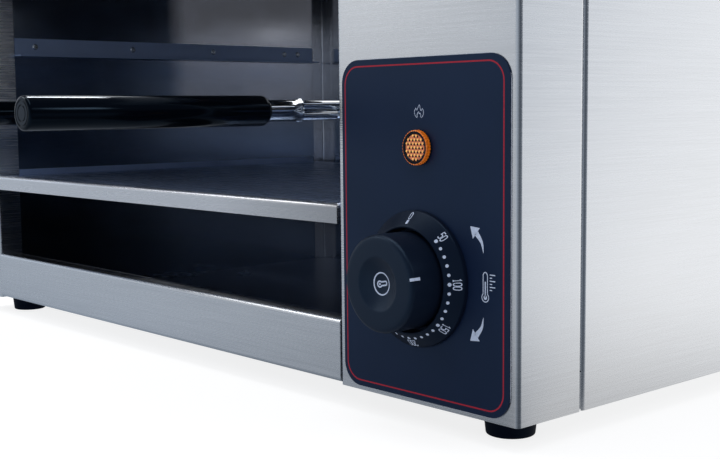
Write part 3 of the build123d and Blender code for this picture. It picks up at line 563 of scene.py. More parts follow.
def finishes():
    """All finishes of the grill by name."""
    tone = bpy.context.scene.grill_colours
    along = (18.0, 18.0, 1700.0)  # streaks 0.6 mm apart in height, tens of mm long
    across = (18.0, 1700.0, 1700.0)
    navy = (0.4, 0.68, 1.0)
    return {
        "outer": brushed_steel("stainless_steel_brushed", tone.outer_steel, along, 0.26, "Z"),
        "lid": brushed_steel("stainless_steel_brushed_lid", tone.outer_steel, across, 0.26, "Y"),
        "plain": sheet_steel("stainless_steel_mill_finish", linear("b4b8be"), 0.3),
        # the wall's second colour is painted shade for its lower and front part
        "wall": wall_steel("stainless_steel_bright_annealed_wall", tone.inner_steel, linear("8795a8"), 0.13),
        "inner": sheet_steel("stainless_steel_bright_annealed", tone.inner_steel, 0.13),
        # the tray's second colour is painted shade for its top
        "shelf": shelf_steel("stainless_steel_tray_heated", linear("fbfbfd"), linear("c6dafc"), 0.26),
        "runner": sheet_steel("stainless_steel_rolled", linear("c2d4f2"), 0.5),
        "chrome": plated_metal("steel_chrome_plated", tone.chrome, 0.06),
        "zinc": plated_metal("steel_zinc_plated", linear("b3b7bb"), 0.28),
        "rivet": plated_metal("stainless_steel_pressed_rivet", linear("b4b8be"), 0.24),
        "brass": plated_metal("brass_turned", linear("b59a5c"), 0.24),
        "copper": plated_metal("copper_drawn", linear("b8714e"), 0.26),
        "sheath": heated_sheath("nickel_alloy_sheath_annealed"),
        "grip": moulded_plastic("phenolic_pressed_black", tone.grip, 0.13, 0.8, 0.24, navy),
        "knob": moulded_plastic("abs_moulded_black_matt", tone.knob, 0.42, 0.35, 0.48, navy),
        "ring": moulded_plastic("abs_moulded_black_satin", tone.knob, 0.38, 0.35, 0.25, navy),
        "film": moulded_plastic("polyester_film_printed", tone.overlay, 0.4, 0.25, 0.4, navy),
        "housing": moulded_plastic("polyamide_moulded_black", linear("101216"), 0.45, 0.4),
        "resin": moulded_plastic("phenolic_moulded_brown", linear("3a2a20"), 0.5, 0.5),
        "ceramic": moulded_plastic("steatite_pressed_glazed", linear("d9d4c8"), 0.35, 0.5),
        "rubber": moulded_plastic("rubber_moulded_black", tone.rubber, 0.62, 0.5, 0.12, navy),
        "ink": printed_ink("ink_screen_printed_pale", tone.marks),
        "red": printed_ink("ink_screen_printed_red", tone.outline),
        # pale colour of the painted highlight along the film's edge
        "edge": printed_ink("polyester_film_cut_edge", linear("e6ecf6")),
        "amber": amber_lens("polycarbonate_dyed_amber", tone.amber, 0.12, 0.14),
        "smoke": moulded_plastic("polycarbonate_smoked_depth", linear("0e0a10"), 0.2, 0.2, 0.3, navy),
        "amber_prism": amber_lens("polycarbonate_dyed_amber_middle", linear("cc7448"), 0.18, 0.2),
        # painted highlight: a paler amber that glows more, on each prism
        "amber_tip": amber_lens("polycarbonate_dyed_amber_prisms", linear("ffb060"), 0.4, 0.12),
    }


CAD_FINISH = {
    "outer": ["front_rail", "right_control_column", "left_column", "top_fascia", "right_side_panel",
              "left_side_panel"],
    "shelf": ["middle_shelf"],
    "lid": ["top_cover"],
    "plain": ["base_pan", "back_panel"],
    "wall": ["cavity_left_wall"],
    "inner": ["cavity_right_wall", "cavity_back_wall", "cavity_roof",
              "rear_corner_angle_left", "rear_corner_angle_right", "element_holder", "bulb_clips"],
    "runner": [f"runner_{side}_{level}" for side in ("left", "right") for level in (1, 2, 3)],
    "rivet": ["runner_rivets"],
    "chrome": ["wire_rack", "handle_rod_left", "handle_rod_right", "handle_ferrule_left",
               "handle_ferrule_right"],
    "sheath": ["heating_element_front", "heating_element_rear"],
    "brass": ["element_bushes", "element_nuts"],
    "resin": ["thermostat_body"],
    "zinc": ["thermostat_screws", "thermostat_shaft", "pilot_lamp_nut", "back_panel_screws", "foot_screws"],
    "copper": ["thermostat_bulb"],
    "grip": ["handle_grip_left", "handle_grip_right"],
    "knob": ["knob"],
    "ring": ["dial_bezel"],
    "ink": ["knob_pointer"],
    "film": ["control_overlay"],
    "housing": ["pilot_lamp_body", "cable_gland", "cable_gland_nut"],
    "amber": ["pilot_lamp_lens"],
    "ceramic": ["terminal_block"],
    "rubber": ["foot_front_left", "foot_front_right", "foot_rear_left", "foot_rear_right"],
}


# ------------------------------------------------------------------ shapes
def grip_surface(side, sizes):
    """Turned grip: a straight round bar with a small rounding and two rings at its front end, and a larger
    rounding at the ferrule."""
    low, high = span(f"handle_grip_{side}")
    radius = (high[0] - low[0]) / 2
    length = high[1] - low[1]
    depth = sizes.ring_depth
    rings = [(6.95, 6.25), (4.55, 3.85)]  # outer and inner radius of each
    face = [(0, length)]
    for outer, inner in reversed(rings):
        face += [(inner, length), (inner + 0.1, length - depth), (outer - 0.1, length - depth),
                 (outer, length)]
    front_end = rounded([*face, (radius, length), (radius, length / 2)],
                        [0] * len(face) + [sizes.front_edge, 0], 8)
    rear_end = rounded([(radius, length / 2), (radius, 0), (0, 0)], [0, sizes.rear_edge, 0], 10)
    origin = ((low[0] + high[0]) / 2, high[1], (low[2] + high[2]) / 2)
    return lathe(np.concatenate([front_end, rear_end[1:]]), origin, (0, -1, 0), 96)


def ferrule_surface(side, sizes):
    """Ferrule pressed from a round tube: along the axis its section goes from a circle to an upright slot. At
    angle t the point is (width cos t, height sin t + lift tanh(6 sin t)), where tanh is a smoothed step, and
    two pressed seams stand out above and below the flat end."""
    low, high = span(f"handle_ferrule_{side}")
    middle_x, middle_z = (low[0] + high[0]) / 2, (low[2] + high[2]) / 2
    start, end = span(f"handle_grip_{side}")[1][1], high[1]
    straight = span(f"handle_rod_{side}")[0][1] + 8.0
    along = np.concatenate([[start, start], np.linspace(start, straight, 5),
                            np.linspace(straight, end, 24)[1:], [end]])
    round_radius = (high[2] - low[2]) / 2
    flat_radius = 3.7  # half the width of the pressed end
    shrink = np.ones(len(along))
    shrink[0] = shrink[-1] = 0.0
    press = np.clip((along - straight) / (end - straight), 0, 1)
    press = press * press * (3 - 2 * press)
    angle = np.arange(RIM) * 2 * np.pi / RIM
    half_width = round_radius + (flat_radius - round_radius) * press
    lift = (round_radius - flat_radius) * press
    seam = sizes.crimp_flange * np.clip(press * 1.6 - 0.4, 0, 1)[:, None]
    seam = seam * np.exp(-(np.cos(angle)[None] * 3.0) ** 4)
    x = shrink[:, None] * half_width[:, None] * np.cos(angle)
    z = shrink[:, None] * ((round_radius - lift)[:, None] * np.sin(angle) + seam * np.sign(np.sin(angle))
                           + lift[:, None] * np.tanh(np.sin(angle) * 6))
    points = np.stack([middle_x + x, np.broadcast_to(along[:, None], x.shape), middle_z + z], -1)
    return points.reshape(-1, 3), grid_faces(len(along), RIM, True)


def rack_surfaces(sizes):
    """Welded rack: a round rim with rounded corners, three bars and the grid wires laid on them."""
    low, high = span("wire_rack")
    rod, wire = sizes.rod, sizes.wire
    handle_low, handle_high = span("handle_rod_left", "handle_rod_right")
    left, right = low[0] + rod / 2, high[0] - rod / 2
    back = high[1] - rod / 2
    level = low[2] + rod / 2
    wire_level = high[2] - wire / 2
    front = FRONT + 58.0  # the rim stands back from the opening
    corners = [((left + right) / 2, front), (right, front), (right, back), (left, back), (left, front),
               ((left + right) / 2, front)]
    rim = rounded(corners, sizes.corner, 10)[:-1]
    rim = np.column_stack([rim, np.full(len(rim), level)])
    parts = [swept(rim, circle(rod), closed=True)]
    middle = (front + back) / 2
    parts.append(bar((left, middle, level), (right, middle, level), rod))
    handles = [handle_low[0] + rod / 2, handle_high[0] - rod / 2]
    for x in handles:
        parts.append(bar((x, low[1], level), (x, back, level), rod, 0.35, 28))
    pitch = (right - left) / (sizes.wires + 1)
    for x in left + pitch * np.arange(1, sizes.wires + 1):
        if min(abs(x - place) for place in handles) > (rod + wire) / 2:
            ends = [(x, y, wire_level) for y in (front - rod / 2, back + rod / 2)]
            parts.append(bar(*ends, wire, 0.5, 16))
    return parts


def dish(radius, sizes):
    """Depth in mm of the dish in the knob's front: full depth * (1 - (radius / dish radius) squared)."""
    return sizes.dish_depth * np.clip(1 - (radius / sizes.dish) ** 2, 0, 1)


def knob_surface(sizes):
    """Turned knob: a short round wall, a rounded rim, and a front whose middle sinks in a shallow dish. The
    front falls away towards its rim by 0.35 mm times (radius / knob radius) to the fourth."""
    r = np.linspace(0, KNOB_RADIUS - 3.4, 44)
    face = np.stack([r, KNOB_REACH - dish(r, sizes) - 0.35 * (r / KNOB_RADIUS) ** 4], 1)
    rim = rounded([face[-1], (KNOB_RADIUS, KNOB_REACH - 0.5), (KNOB_RADIUS + 0.05, 0)], [0, 2.6, 0], 12)
    hollow = [(KNOB_RADIUS - 2.2, 0), (KNOB_RADIUS - 2.4, 3.0), (0, 3.0)]
    profile = np.concatenate([face, rim[1:], hollow])
    return lathe(profile, (DIAL_X, KNOB_HIGH[1], DIAL_Z), (0, -1, 0), 128)


def pointer_surface():
    """White inlay: a bar 1.5 mm wide that starts in the rounding of the knob's rim, runs to 5.6 mm down its
    side and stands 0.08 mm out of that profile."""
    line = rounded([(KNOB_RADIUS - 3.0, KNOB_REACH), (KNOB_RADIUS, KNOB_REACH - 0.5),
                    (KNOB_RADIUS + 0.02, KNOB_REACH - 5.6)], [0, 2.2, 0], 10)[3:]
    normal = np.gradient(line, axis=0)[:, ::-1] * (-1, 1)
    normal /= np.linalg.norm(normal, axis=1)[:, None]
    proud, sunk, half_width = 0.08, 0.5, 0.75
    section = np.stack([line - normal * proud, line + normal * sunk], 1)
    out = np.array([math.cos(POINTER_TURN), 0, math.sin(POINTER_TURN)])
    side = np.array([-math.sin(POINTER_TURN), 0, math.cos(POINTER_TURN)])
    origin = np.array([DIAL_X, KNOB_HIGH[1], DIAL_Z])
    points = [origin + section[:, layer, :1] * out - section[:, layer, 1:] * (0, 1, 0) + half * side
              for layer, half in ((0, -half_width), (0, half_width), (1, half_width), (1, -half_width))]
    return np.stack(points, 1).reshape(-1, 3), tube_faces(len(line), 4, False)


RING_OUTER = (RING_HIGH[0] - RING_LOW[0]) / 2
RING_INNER = 26.75  # radius of its inner wall
RING_WALL = 2.4  # height of the ring's outer wall over the overlay
RING_RISE = 10.6  # height of its inner rim, before rounding
RING_SLOPE = (RING_RISE - RING_WALL) / (RING_OUTER - RING_INNER)


def on_ring(flat, lift):
    """Flat (radius, turn in radians) on the sloping face of the dial ring, which falls by the slope for each
    millimetre of radius."""
    radius, turn = flat[:, 0], flat[:, 1]
    height = RING_RISE - (radius - RING_INNER) * RING_SLOPE + lift * math.hypot(1, RING_SLOPE)
    return np.stack([DIAL_X + radius * np.cos(turn), RING_HIGH[1] - height,
                     DIAL_Z + radius * np.sin(turn)], 1)


def ring_surface():
    """Turned dial ring: a wall outside, a face that rises towards the middle, and a wall inside."""
    profile = rounded([(RING_INNER + 2, 0), (RING_INNER, 0), (RING_INNER, RING_RISE), (RING_OUTER, RING_WALL),
                       (RING_OUTER, 0), (RING_INNER + 2, 0)], [0, 0, 0.9, 1.6, 0, 0], 8)
    return lathe(profile, (DIAL_X, RING_HIGH[1], DIAL_Z), (0, -1, 0), 160)


DIGITS = {  # lines of each figure on a field one wide and one high
    "0": [[(0, .3), (0, .75), (.12, .93), (.35, 1), (.65, 1), (.88, .93), (1, .75), (1, .25), (.88, .07),
           (.65, 0), (.35, 0), (.12, .07), (0, .25)]],
    "1": [[(.15, .78), (.5, 1), (.5, 0)], [(.2, 0), (.8, 0)]],
    "2": [[(0, .78), (.1, .94), (.35, 1), (.65, 1), (.9, .94), (1, .78), (.95, .6), (.05, .12), (0, 0),
           (1, 0)]],
    "3": [[(0, .8), (.12, .95), (.4, 1), (.65, 1), (.95, .9), (.95, .65), (.7, .54), (.4, .54)],
          [(.7, .54), (1, .42), (1, .12), (.68, 0), (.35, 0), (.1, .06), (0, .2)]],
    "5": [[(1, 1), (.08, 1), (.02, .56), (.4, .62), (.7, .6), (1, .45), (1, .15), (.7, 0), (.3, 0),
           (0, .08)]],
}


def figure_lines(text, height, gap):
    """Lines of a number centred on its middle: each figure half as wide as it is high."""
    width = 0.5 * height
    total = len(text) * width + (len(text) - 1) * gap
    lines = []
    for place, figure in enumerate(text):
        shift = place * (width + gap) - total / 2
        lines += [np.array(line) * (width, height) + (shift, 0) for line in DIGITS[figure]]
    return lines


def dial_marks(sizes):
    """Print on the dial ring: a dot every 10 degrees of heat from 50 to 300, larger at every 50, and the
    numbers outside them, their feet towards the knob. A short bar marks the zero at the top."""
    middle = sizes.dot_radius
    turns = np.radians(sizes.start - sizes.step * np.arange(26)).tolist()
    small, large, bar_width, bar_half = 0.85, 0.98, 1.5, 0.9
    parts = [round_mark(middle, turn, small if place % 5 else large) for place, turn in enumerate(turns)]
    top = math.radians(89.5)
    parts.append(ribbon([(middle - bar_half, top), (middle + bar_half, top)], bar_width / middle, on_ring))
    across = sizes.digit_foot + sizes.digit_height / 2
    for turn, text in zip([top, *turns[::5]], ("0", "50", "100", "150", "200", "250", "300")):
        parts += [curved_line(line, turn, sizes.digit_foot, across, sizes.stroke)
                  for line in figure_lines(text, sizes.digit_height, 0.45)]
    return parts


def round_mark(radius, turn, size_mm, sides=14):
    """Dot on the dial ring, round on its sloping face: a step outwards is divided by the length of the slope,
    and a step to the side by the radius, which makes it a turn."""
    def place(flat, lift):
        outwards = radius + flat[:, 0] / math.hypot(1, RING_SLOPE)
        return on_ring(np.stack([outwards, turn + flat[:, 1] / radius], 1), lift)
    return dot((0, 0), size_mm, place, sides)


def curved_line(line, turn, foot, across, width):
    """Line of a figure bent round the dial: its length runs clockwise and its height outwards from the
    foot."""
    def place(flat, lift):
        return on_ring(np.stack([foot + flat[:, 1], turn - flat[:, 0] / across], 1), lift)
    return ribbon(line, width, place)


def round_box(low, high, corner, steps=12):
    """Closed line of a box with rounded corners, without its repeated last point."""
    middle = ((low[0] + high[0]) / 2, low[1])
    path = rounded([middle, (high[0], low[1]), high, (low[0], high[1]), low, middle], corner, steps)
    return path[:-1]


def overlay_outline(sizes):
    """Red line: a rounded box set in from the overlay's edges."""
    low = (OVERLAY_LOW[0] + sizes.left, OVERLAY_LOW[2] + sizes.bottom)
    high = (OVERLAY_HIGH[0] - sizes.right, OVERLAY_HIGH[2] - sizes.top)
    return ribbon(round_box(low, high, sizes.corner - sizes.left), sizes.line, on_overlay, closed=True)


def overlay_edge_highlight():
    """Painted highlight along the film's cut edge: a closed pale line on the column, round the overlay."""
    width, outside, corner, stands = 0.5, 0.1, 14.0, 0.08
    low = (OVERLAY_LOW[0] - outside, OVERLAY_LOW[2] - outside)
    high = (OVERLAY_HIGH[0] + outside, OVERLAY_HIGH[2] + outside)

    def on_column(flat, lift):
        return np.stack([flat[:, 0], np.full(len(flat), FRONT - stands - lift), flat[:, 1]], 1)

    return ribbon(round_box(low, high, corner), width, on_column, closed=True)


def bent(points, steps=10):
    """Smooth open curve through points, a Catmull-Rom spline: between two points it is the cubic whose slopes
    are half the step from the point before to the point after."""
    points = np.asarray(points, float)
    padded = np.concatenate([2 * points[:1] - points[1:2], points, 2 * points[-1:] - points[-2:-1]])
    t = np.linspace(0, 1, steps, endpoint=False)[:, None]
    runs = []
    for a, b, c, d in zip(padded[:-3], padded[1:-2], padded[2:-1], padded[3:]):
        runs.append(0.5 * (2 * b + (c - a) * t + (2 * a - 5 * b + 4 * c - d) * t ** 2
                           + (3 * b - a - 3 * c + d) * t ** 3))
    return np.concatenate([*runs, points[-1:]])


def turn_arrow(upwards):
    """Curved arrow beside the dial: a thin tail that widens to a swept head."""
    sign = 1 if upwards else -1
    centre = DIAL_Z + (0.0 if upwards else 2.4)
    shaft = bent([(DIAL_X + 45.6, centre + sign * 17.2), (DIAL_X + 44.4, centre + sign * 22.2),
                  (DIAL_X + 40.9, centre + sign * 26.6)], 8)
    taper = np.linspace(0.25, 3.0, len(shaft))
    head = np.array([(DIAL_X + 40.9, centre + sign * 26.4), (DIAL_X + 37.0, centre + sign * 29.6)])
    return [ribbon(shaft, taper, on_overlay), ribbon(head, [7.2, 0.3], on_overlay)]


def thermometer():
    """Thermometer sign: an outlined tube and bulb, a filled core, and six ticks."""
    x, low, high = DIAL_X + 46.8, DIAL_Z - 7.0, DIAL_Z + 7.8
    line = 0.45
    middle = low + 2.4
    bulb = arc((x, middle), 2.2, 130, 410, 22)
    tube = [(x + 1.4, high - 1.2), (x + 0.8, high - 0.3), (x, high), (x - 0.8, high - 0.3),
            (x - 1.4, high - 1.2)]
    parts = [ribbon(np.concatenate([bulb, tube]), line, on_overlay, closed=True),
             dot((x, middle), 1.15, on_overlay),
             ribbon([(x, middle), (x, high - 4.6)], 0.7, on_overlay)]
    for step in range(6):
        z = high - 1.0 - step * 1.5
        length = 3.5 if step % 2 == 0 else 1.5
        parts.append(ribbon([(x + 2.9, z), (x + 2.9 + length, z)], 0.5, on_overlay))
    return parts


def flame():
    """Flame sign over the lamp: an outlined flame of three tongues, open at its foot, with a small one
    inside."""
    outer = bent([(-1.7, -3.8), (-3.3, -2.4), (-3.9, -0.4), (-3.3, 1.2), (-2.6, 2.1), (-2.3, 0.9),
                  (-1.5, 1.2), (-0.7, 2.6), (0.3, 3.9), (0.9, 2.4), (1.3, 0.9), (2.0, 0.5), (2.9, 1.7),
                  (3.7, 0.4), (3.8, -1.5), (2.9, -3.0), (1.7, -3.8)], 4)
    inner = bent([(-1.2, -3.4), (-1.7, -2.2), (-1.2, -1.1), (-0.3, -0.2), (0.2, -1.4), (0.9, -1.0),
                  (1.5, -2.2), (1.1, -3.4)], 4)
    place = np.array([LAMP_X, LAMP_Z + 18.3])
    return [ribbon(shape * 0.84 + place, 0.25, on_overlay) for shape in (outer, inner)]


def on_dish(flat, lift):
    """Flat (x, z) from the knob's middle on the floor of its dish."""
    depth = dish(np.linalg.norm(flat, axis=1), bpy.context.scene.grill_dial)
    return np.stack([DIAL_X + flat[:, 0], KNOB_LOW[1] + depth - lift, DIAL_Z + flat[:, 1]], 1)


def knob_sign():
    """Ring sign in the dish: a circle round a small thermometer that lies on its side."""
    cosine, sine = math.cos(POINTER_TURN), math.sin(POINTER_TURN)
    turn = np.array([[cosine, sine], [-sine, cosine]])
    bulb_middle = np.array([-1.9, 0])
    bulb = arc(bulb_middle, 1.5, 40, 320, 20)
    stem = rounded([bulb[-1], (3.4, bulb[-1][1]), (3.4, bulb[0][1]), bulb[0]], [0, 0.8, 0.8, 0], 5)
    outline = np.concatenate([bulb, stem[1:-1]]) @ turn
    return [ribbon(circle(11.2, 56), 0.7, on_dish, closed=True),
            ribbon(outline, 0.75, on_dish, closed=True),
            dot(bulb_middle @ turn, 0.6, on_dish)]


LENS_DISC = 7.1  # radius of the lens's patterned middle
LENS_RADIUS = (LENS_HIGH[0] - LENS_LOW[0]) / 2
LENS_REACH = LENS_HIGH[1] - LENS_LOW[1]


def lens_wall():
    """Ring of the lens: its side wall carries 36 ribs, so that the radius is less by 0.15 mm times
    (1 + cos 36t) at the angle t. A groove parts its flange from its rounded front."""
    inner, groove = LENS_RADIUS - 1.2, LENS_RADIUS - 0.75
    profile = rounded([(inner, 0.0), (LENS_RADIUS, 0.0), (LENS_RADIUS, 0.36 * LENS_REACH),
                       (groove, 0.42 * LENS_REACH), (groove, 0.54 * LENS_REACH),
                       (LENS_RADIUS, 0.6 * LENS_REACH), (LENS_RADIUS, LENS_REACH - 0.2),
                       (LENS_RADIUS - 0.55, LENS_REACH), (inner, LENS_REACH - 0.4), (inner, 0.0)],
                      [0, 0, 0, 0, 0, 0, 0.3, 0, 0, 0], 5)
    points, faces = lathe(profile, (LAMP_X, LENS_HIGH[1], LAMP_Z), (0, -1, 0), 216)
    flat = points[:, [0, 2]] - (LAMP_X, LAMP_Z)
    radius = np.linalg.norm(flat, axis=1)
    turn = np.arctan2(flat[:, 1], flat[:, 0])
    rib = 0.15 * (1 + np.cos(36 * turn)) * (radius > LENS_RADIUS - 0.2)
    points[:, [0, 2]] -= flat / radius[:, None] * rib[:, None]
    return points, faces


def lens_band():
    """Smooth clear band between the ring of the lens and its patterned middle."""
    outer = LENS_RADIUS - 0.6
    profile = [(0, 0.4), (outer, 0.4), (outer, LENS_REACH - 0.04), (LENS_DISC, LENS_REACH - 0.2),
               (LENS_DISC - 0.3, LENS_REACH - 0.7), (0, LENS_REACH - 0.7)]
    return lathe(profile, (LAMP_X, LENS_HIGH[1], LAMP_Z), (0, -1, 0), 96)


def prism_places():
    """Places of the prisms: a six-sided grid, 2.3 mm from one to the next, inside the patterned middle."""
    pitch = 2.3  # six or seven rows across the lens
    steps = np.arange(-4, 5)
    x = (steps[None] + 0.5 * (steps[:, None] % 2)) * pitch
    z = np.broadcast_to(steps[:, None] * pitch * math.sqrt(0.75), x.shape)
    inside = np.hypot(x, z) < LENS_DISC - 0.4
    return np.stack([x[inside], z[inside]], 1)


def prism_surfaces(middle, radius, height):
    """The same small round cushion at every place of the prisms: radius, height over the patterned middle,
    and how far its middle stands to the side and up."""
    outline = rounded([(0, -0.05), (radius, -0.05), (radius * 0.8, height), (0, height)],
                      [0, 0, height * 0.7, 0], 3)
    first_x, first_z = LAMP_X + middle[0], LAMP_Z + middle[1]
    return [lathe(outline, (first_x + x, LENS_LOW[1] + 0.6, first_z + z), (0, -1, 0), 12)
            for x, z in prism_places()]


def foot_surface(place):
    """Turned foot: a tapered wall, a rounded lower edge and a screw recess underneath."""
    low, high = span(f"foot_{place}")
    upper = (high[0] - low[0]) / 2
    lower = upper - 1.4
    height = high[2] - low[2]
    recess, depth = 4.8, 6.0
    profile = rounded([(0, height), (upper, height), (upper - 0.1, height - 1.2), (lower, 0), (recess, 0),
                       (recess, depth), (0, depth)], [0, 0.5, 0.6, 1.2, 0.4, 0, 0], 6)
    origin = ((low[0] + high[0]) / 2, (low[1] + high[1]) / 2, 0)
    return lathe(profile, origin, (0, 0, 1), 72)


def element_surface(name):
    """Bent tubular element: a round tube along two legs and a half turn, with a thinner stud at each end."""
    low, high = span(f"heating_element_{name}")
    tube = high[2] - low[2]
    level = (low[2] + high[2]) / 2
    front, back = low[1] + tube / 2, high[1] - tube / 2
    stud, stud_length = 4.0, 10.0
    end = high[0] - stud_length
    far = low[0] + tube / 2
    path = rounded([(end, front), (far, front), (far, back), (end, back)], (back - front - 1.0) / 2, 24)
    path = np.column_stack([path, np.full(len(path), level)])
    studs = [bar((end - 1, y, level), (high[0], y, level), stud) for y in (front, back)]
    return [swept(path, circle(tube, 28)), *studs]


# ------------------------------------------------------------------ operators
class GRILL_OT_cad_finish(bpy.types.Operator):
    """Gives every CAD sheet and fitting its finish"""

    bl_idname = "grill.cad_finish"
    bl_label = "CAD finishes"

    def execute(self, context):
        finish = finishes()
        for name, nodes in CAD_FINISH.items():
            for node in nodes:
                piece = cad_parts[node]
                if not piece.material_slots:
                    piece.data.materials.append(finish[name])
                for slot in piece.material_slots:
                    slot.material = finish[name]
        missing = set(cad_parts) - {node for nodes in CAD_FINISH.values() for node in nodes}
        if missing:
            raise RuntimeError(f"no finish for {sorted(missing)}")
        return {"FINISHED"}


class GRILL_OT_handles(bpy.types.Operator):
    """Builds the grips, ferrules and rods of the two handles"""

    bl_idname = "grill.handles"
    bl_label = "Handles"

    def execute(self, context):
        finish = finishes()
        sizes = context.scene.grill_grips
        for side in ("left", "right"):
            add_piece(f"grip_{side}", [grip_surface(side, sizes)], "rack", finish["grip"],
                      [f"handle_grip_{side}"])
            add_piece(f"ferrule_{side}", [ferrule_surface(side, sizes)], "rack", finish["chrome"],
                      [f"handle_ferrule_{side}"], sharp=50)
            low, high = span(f"handle_rod_{side}")
            x, z = (low[0] + high[0]) / 2, (low[2] + high[2]) / 2
            rod = bar((x, low[1], z), (x, high[1], z), high[0] - low[0], 0.5, 32)
            add_piece(f"rod_{side}", [rod], "rack", finish["chrome"], [f"handle_rod_{side}"])
        return {"FINISHED"}


class GRILL_OT_rack(bpy.types.Operator):
    """Builds the rim, bars and grid wires of the rack"""

    bl_idname = "grill.rack"
    bl_label = "Rack"

    def execute(self, context):
        add_piece("rack_grid", rack_surfaces(context.scene.grill_rack), "rack", finishes()["chrome"],
                  ["wire_rack"], merge=False)
        return {"FINISHED"}


class GRILL_OT_dial(bpy.types.Operator):
    """Builds the knob, the dial ring and their marks"""

    bl_idname = "grill.dial"
    bl_label = "Dial and knob"

    def execute(self, context):
        finish = finishes()
        sizes = context.scene.grill_dial
        add_piece("knob_shell", [knob_surface(sizes)], "knob", finish["knob"], ["knob"],
                  sharp=50)
        add_piece("knob_sign", knob_sign(), "knob", finish["ink"], ())
        add_piece("knob_inlay", [pointer_surface()], "knob", finish["ink"], ["knob_pointer"])
        add_piece("dial_ring", [ring_surface()], "chassis", finish["ring"], ["dial_bezel"],
                  sharp=50)
        add_piece("dial_marks", dial_marks(sizes), "chassis", finish["ink"], ())
        return {"FINISHED"}


class GRILL_OT_overlay(bpy.types.Operator):
    """Prints the red line and the signs on the control overlay"""

    bl_idname = "grill.overlay"
    bl_label = "Overlay print"

    def execute(self, context):
        finish = finishes()
        outline = overlay_outline(context.scene.grill_overlay)
        add_piece("overlay_outline", [outline], "chassis", finish["red"], ())
        # painted highlight: a pale line round the overlay's edge
        add_piece("overlay_edge_highlight", [overlay_edge_highlight()], "chassis", finish["edge"], ())
        signs = [*turn_arrow(True), *turn_arrow(False), *thermometer(), *flame()]
        add_piece("overlay_signs", signs, "chassis", finish["ink"], ())
        return {"FINISHED"}


class GRILL_OT_lamp(bpy.types.Operator):
    """Builds the lens of the pilot lamp"""

    bl_idname = "grill.lamp"
    bl_label = "Pilot lamp"

    def execute(self, context):
        finish = finishes()
        radius, thick = LENS_DISC - 0.35, 0.3
        disc = [(0, 0), (radius, 0), (radius, thick), (0, thick)]
        middle = lathe(disc, (LAMP_X, LENS_LOW[1] + 0.6 + thick, LAMP_Z), (0, -1, 0))
        add_piece("lamp_lens", [lens_wall()], "chassis", finish["amber"], ["pilot_lamp_lens"])
        add_piece("lamp_band", [lens_band()], "chassis", finish["smoke"], ())
        add_piece("lamp_middle", [middle], "chassis", finish["amber_prism"], ())
        # painted highlights: a bright cushion on each prism
        add_piece("lamp_prisms", prism_surfaces((-0.35, 0.1), 0.66, 0.25), "chassis", finish["amber_tip"], ())
        # painted shade: a dark cushion beside each prism
        add_piece("lamp_painted_shade_spots", prism_surfaces((0.72, -0.35), 0.62, 0.22), "chassis", finish["smoke"], ())
        return {"FINISHED"}


class GRILL_OT_feet(bpy.types.Operator):
    """Builds the four moulded feet"""

    bl_idname = "grill.feet"
    bl_label = "Feet"

    def execute(self, context):
        finish = finishes()
        for place in ("front_left", "front_right", "rear_left", "rear_right"):
            add_piece(f"foot_body_{place}", [foot_surface(place)], "chassis", finish["rubber"],
                      [f"foot_{place}"], sharp=50)
        return {"FINISHED"}


class GRILL_OT_elements(bpy.types.Operator):
    """Builds the tubular heating elements"""

    bl_idname = "grill.elements"
    bl_label = "Heating elements"

    def execute(self, context):
        for name in ("front", "rear"):
            add_piece(f"element_tube_{name}", element_surface(name), "chassis", finishes()["sheath"],
                      [f"heating_element_{name}"], merge=False)
        return {"FINISHED"}


CAMERA_PLACE = (0.6606, -0.5465, 0.1668)  # metres
CAMERA_AXES = (  # where its right side, its top and its back point
    (0.6659, 0.7460, -0.0101),
    (-0.0696, 0.0756, 0.9947),
    (0.7428, -0.6617, 0.1023),
)


class GRILL_OT_studio(bpy.types.Operator):
    """Builds the floor, the white surroundings, the lamps and the camera"""

    bl_idname = "grill.studio"
    bl_label = "Studio"

    def execute(self, context):
        settings = context.scene.grill_studio
        scene = context.scene
        scene.view_settings.view_transform = "Standard"
        make_world(scene, settings.ambient)
        make_floor()
        make_lamps(settings.lamp)
        data = bpy.data.cameras.new("studio_camera")
        data.lens = settings.lens
        data.sensor_width = 36.0
        data.clip_start, data.clip_end = 0.01, 50.0
        camera = bpy.data.objects.new("studio_camera", data)
        scene.collection.objects.link(camera)
        camera.matrix_world = Matrix.Translation(CAMERA_PLACE) @ Matrix(CAMERA_AXES).transposed().to_4x4()
        scene.camera = camera
        return {"FINISHED"}


# What polished metal sees: bearing clockwise from the back in degrees, level, and share of blue added.
AROUND = (
    (-180, 0.45, 0.3), (-148, 0.42, 0.25), (-139, 0.5, 0.15), (-135, 0.6, 0.1), (-131, 0.82, 0.05),
    (-127, 0.52, 0.12), (-123, 0.48, 0.12), (-114, 0.55, 0.45), (-90, 0.75, 0.08),
    (-64, 0.85, 0.05), (-60, 0.15, 0.4), (-50, 0.12, 0.4), (-42, 0.85, 0.05),
    (20, 1.0, 0.0), (31, 0.97, 0.04), (35, 0.84, 0.08), (39, 0.66, 0.15), (44, 0.4, 0.3), (56, 0.08, 0.5),
    (118, 0.05, 0.5), (133, 0.15, 0.4), (150, 0.3, 0.3), (180, 0.45, 0.3),
)
# The same on the floor, by the bearing from a place just before the body's front right corner.
GROUND = (
    (-180, 0.45, 0.3), (-153, 0.5, 0.15), (-141, 0.5, 0.15), (-136, 0.31, 0.3), (-123, 0.35, 0.3),
    (-110, 0.37, 0.3), (-101, 0.42, 0.3), (-90, 0.3, 0.4), (-60, 0.35, 0.4), (-40, 0.85, 0.05),
    (20, 1.0, 0.0), (30, 1.0, 0.0), (38, 0.88, 0.05), (46, 0.6, 0.15), (62, 0.2, 0.4), (110, 0.1, 0.5),
    (160, 0.25, 0.4), (180, 0.4, 0.3),
)
GROUND_CORNER = (0.3, -0.12, 0.0)  # metres


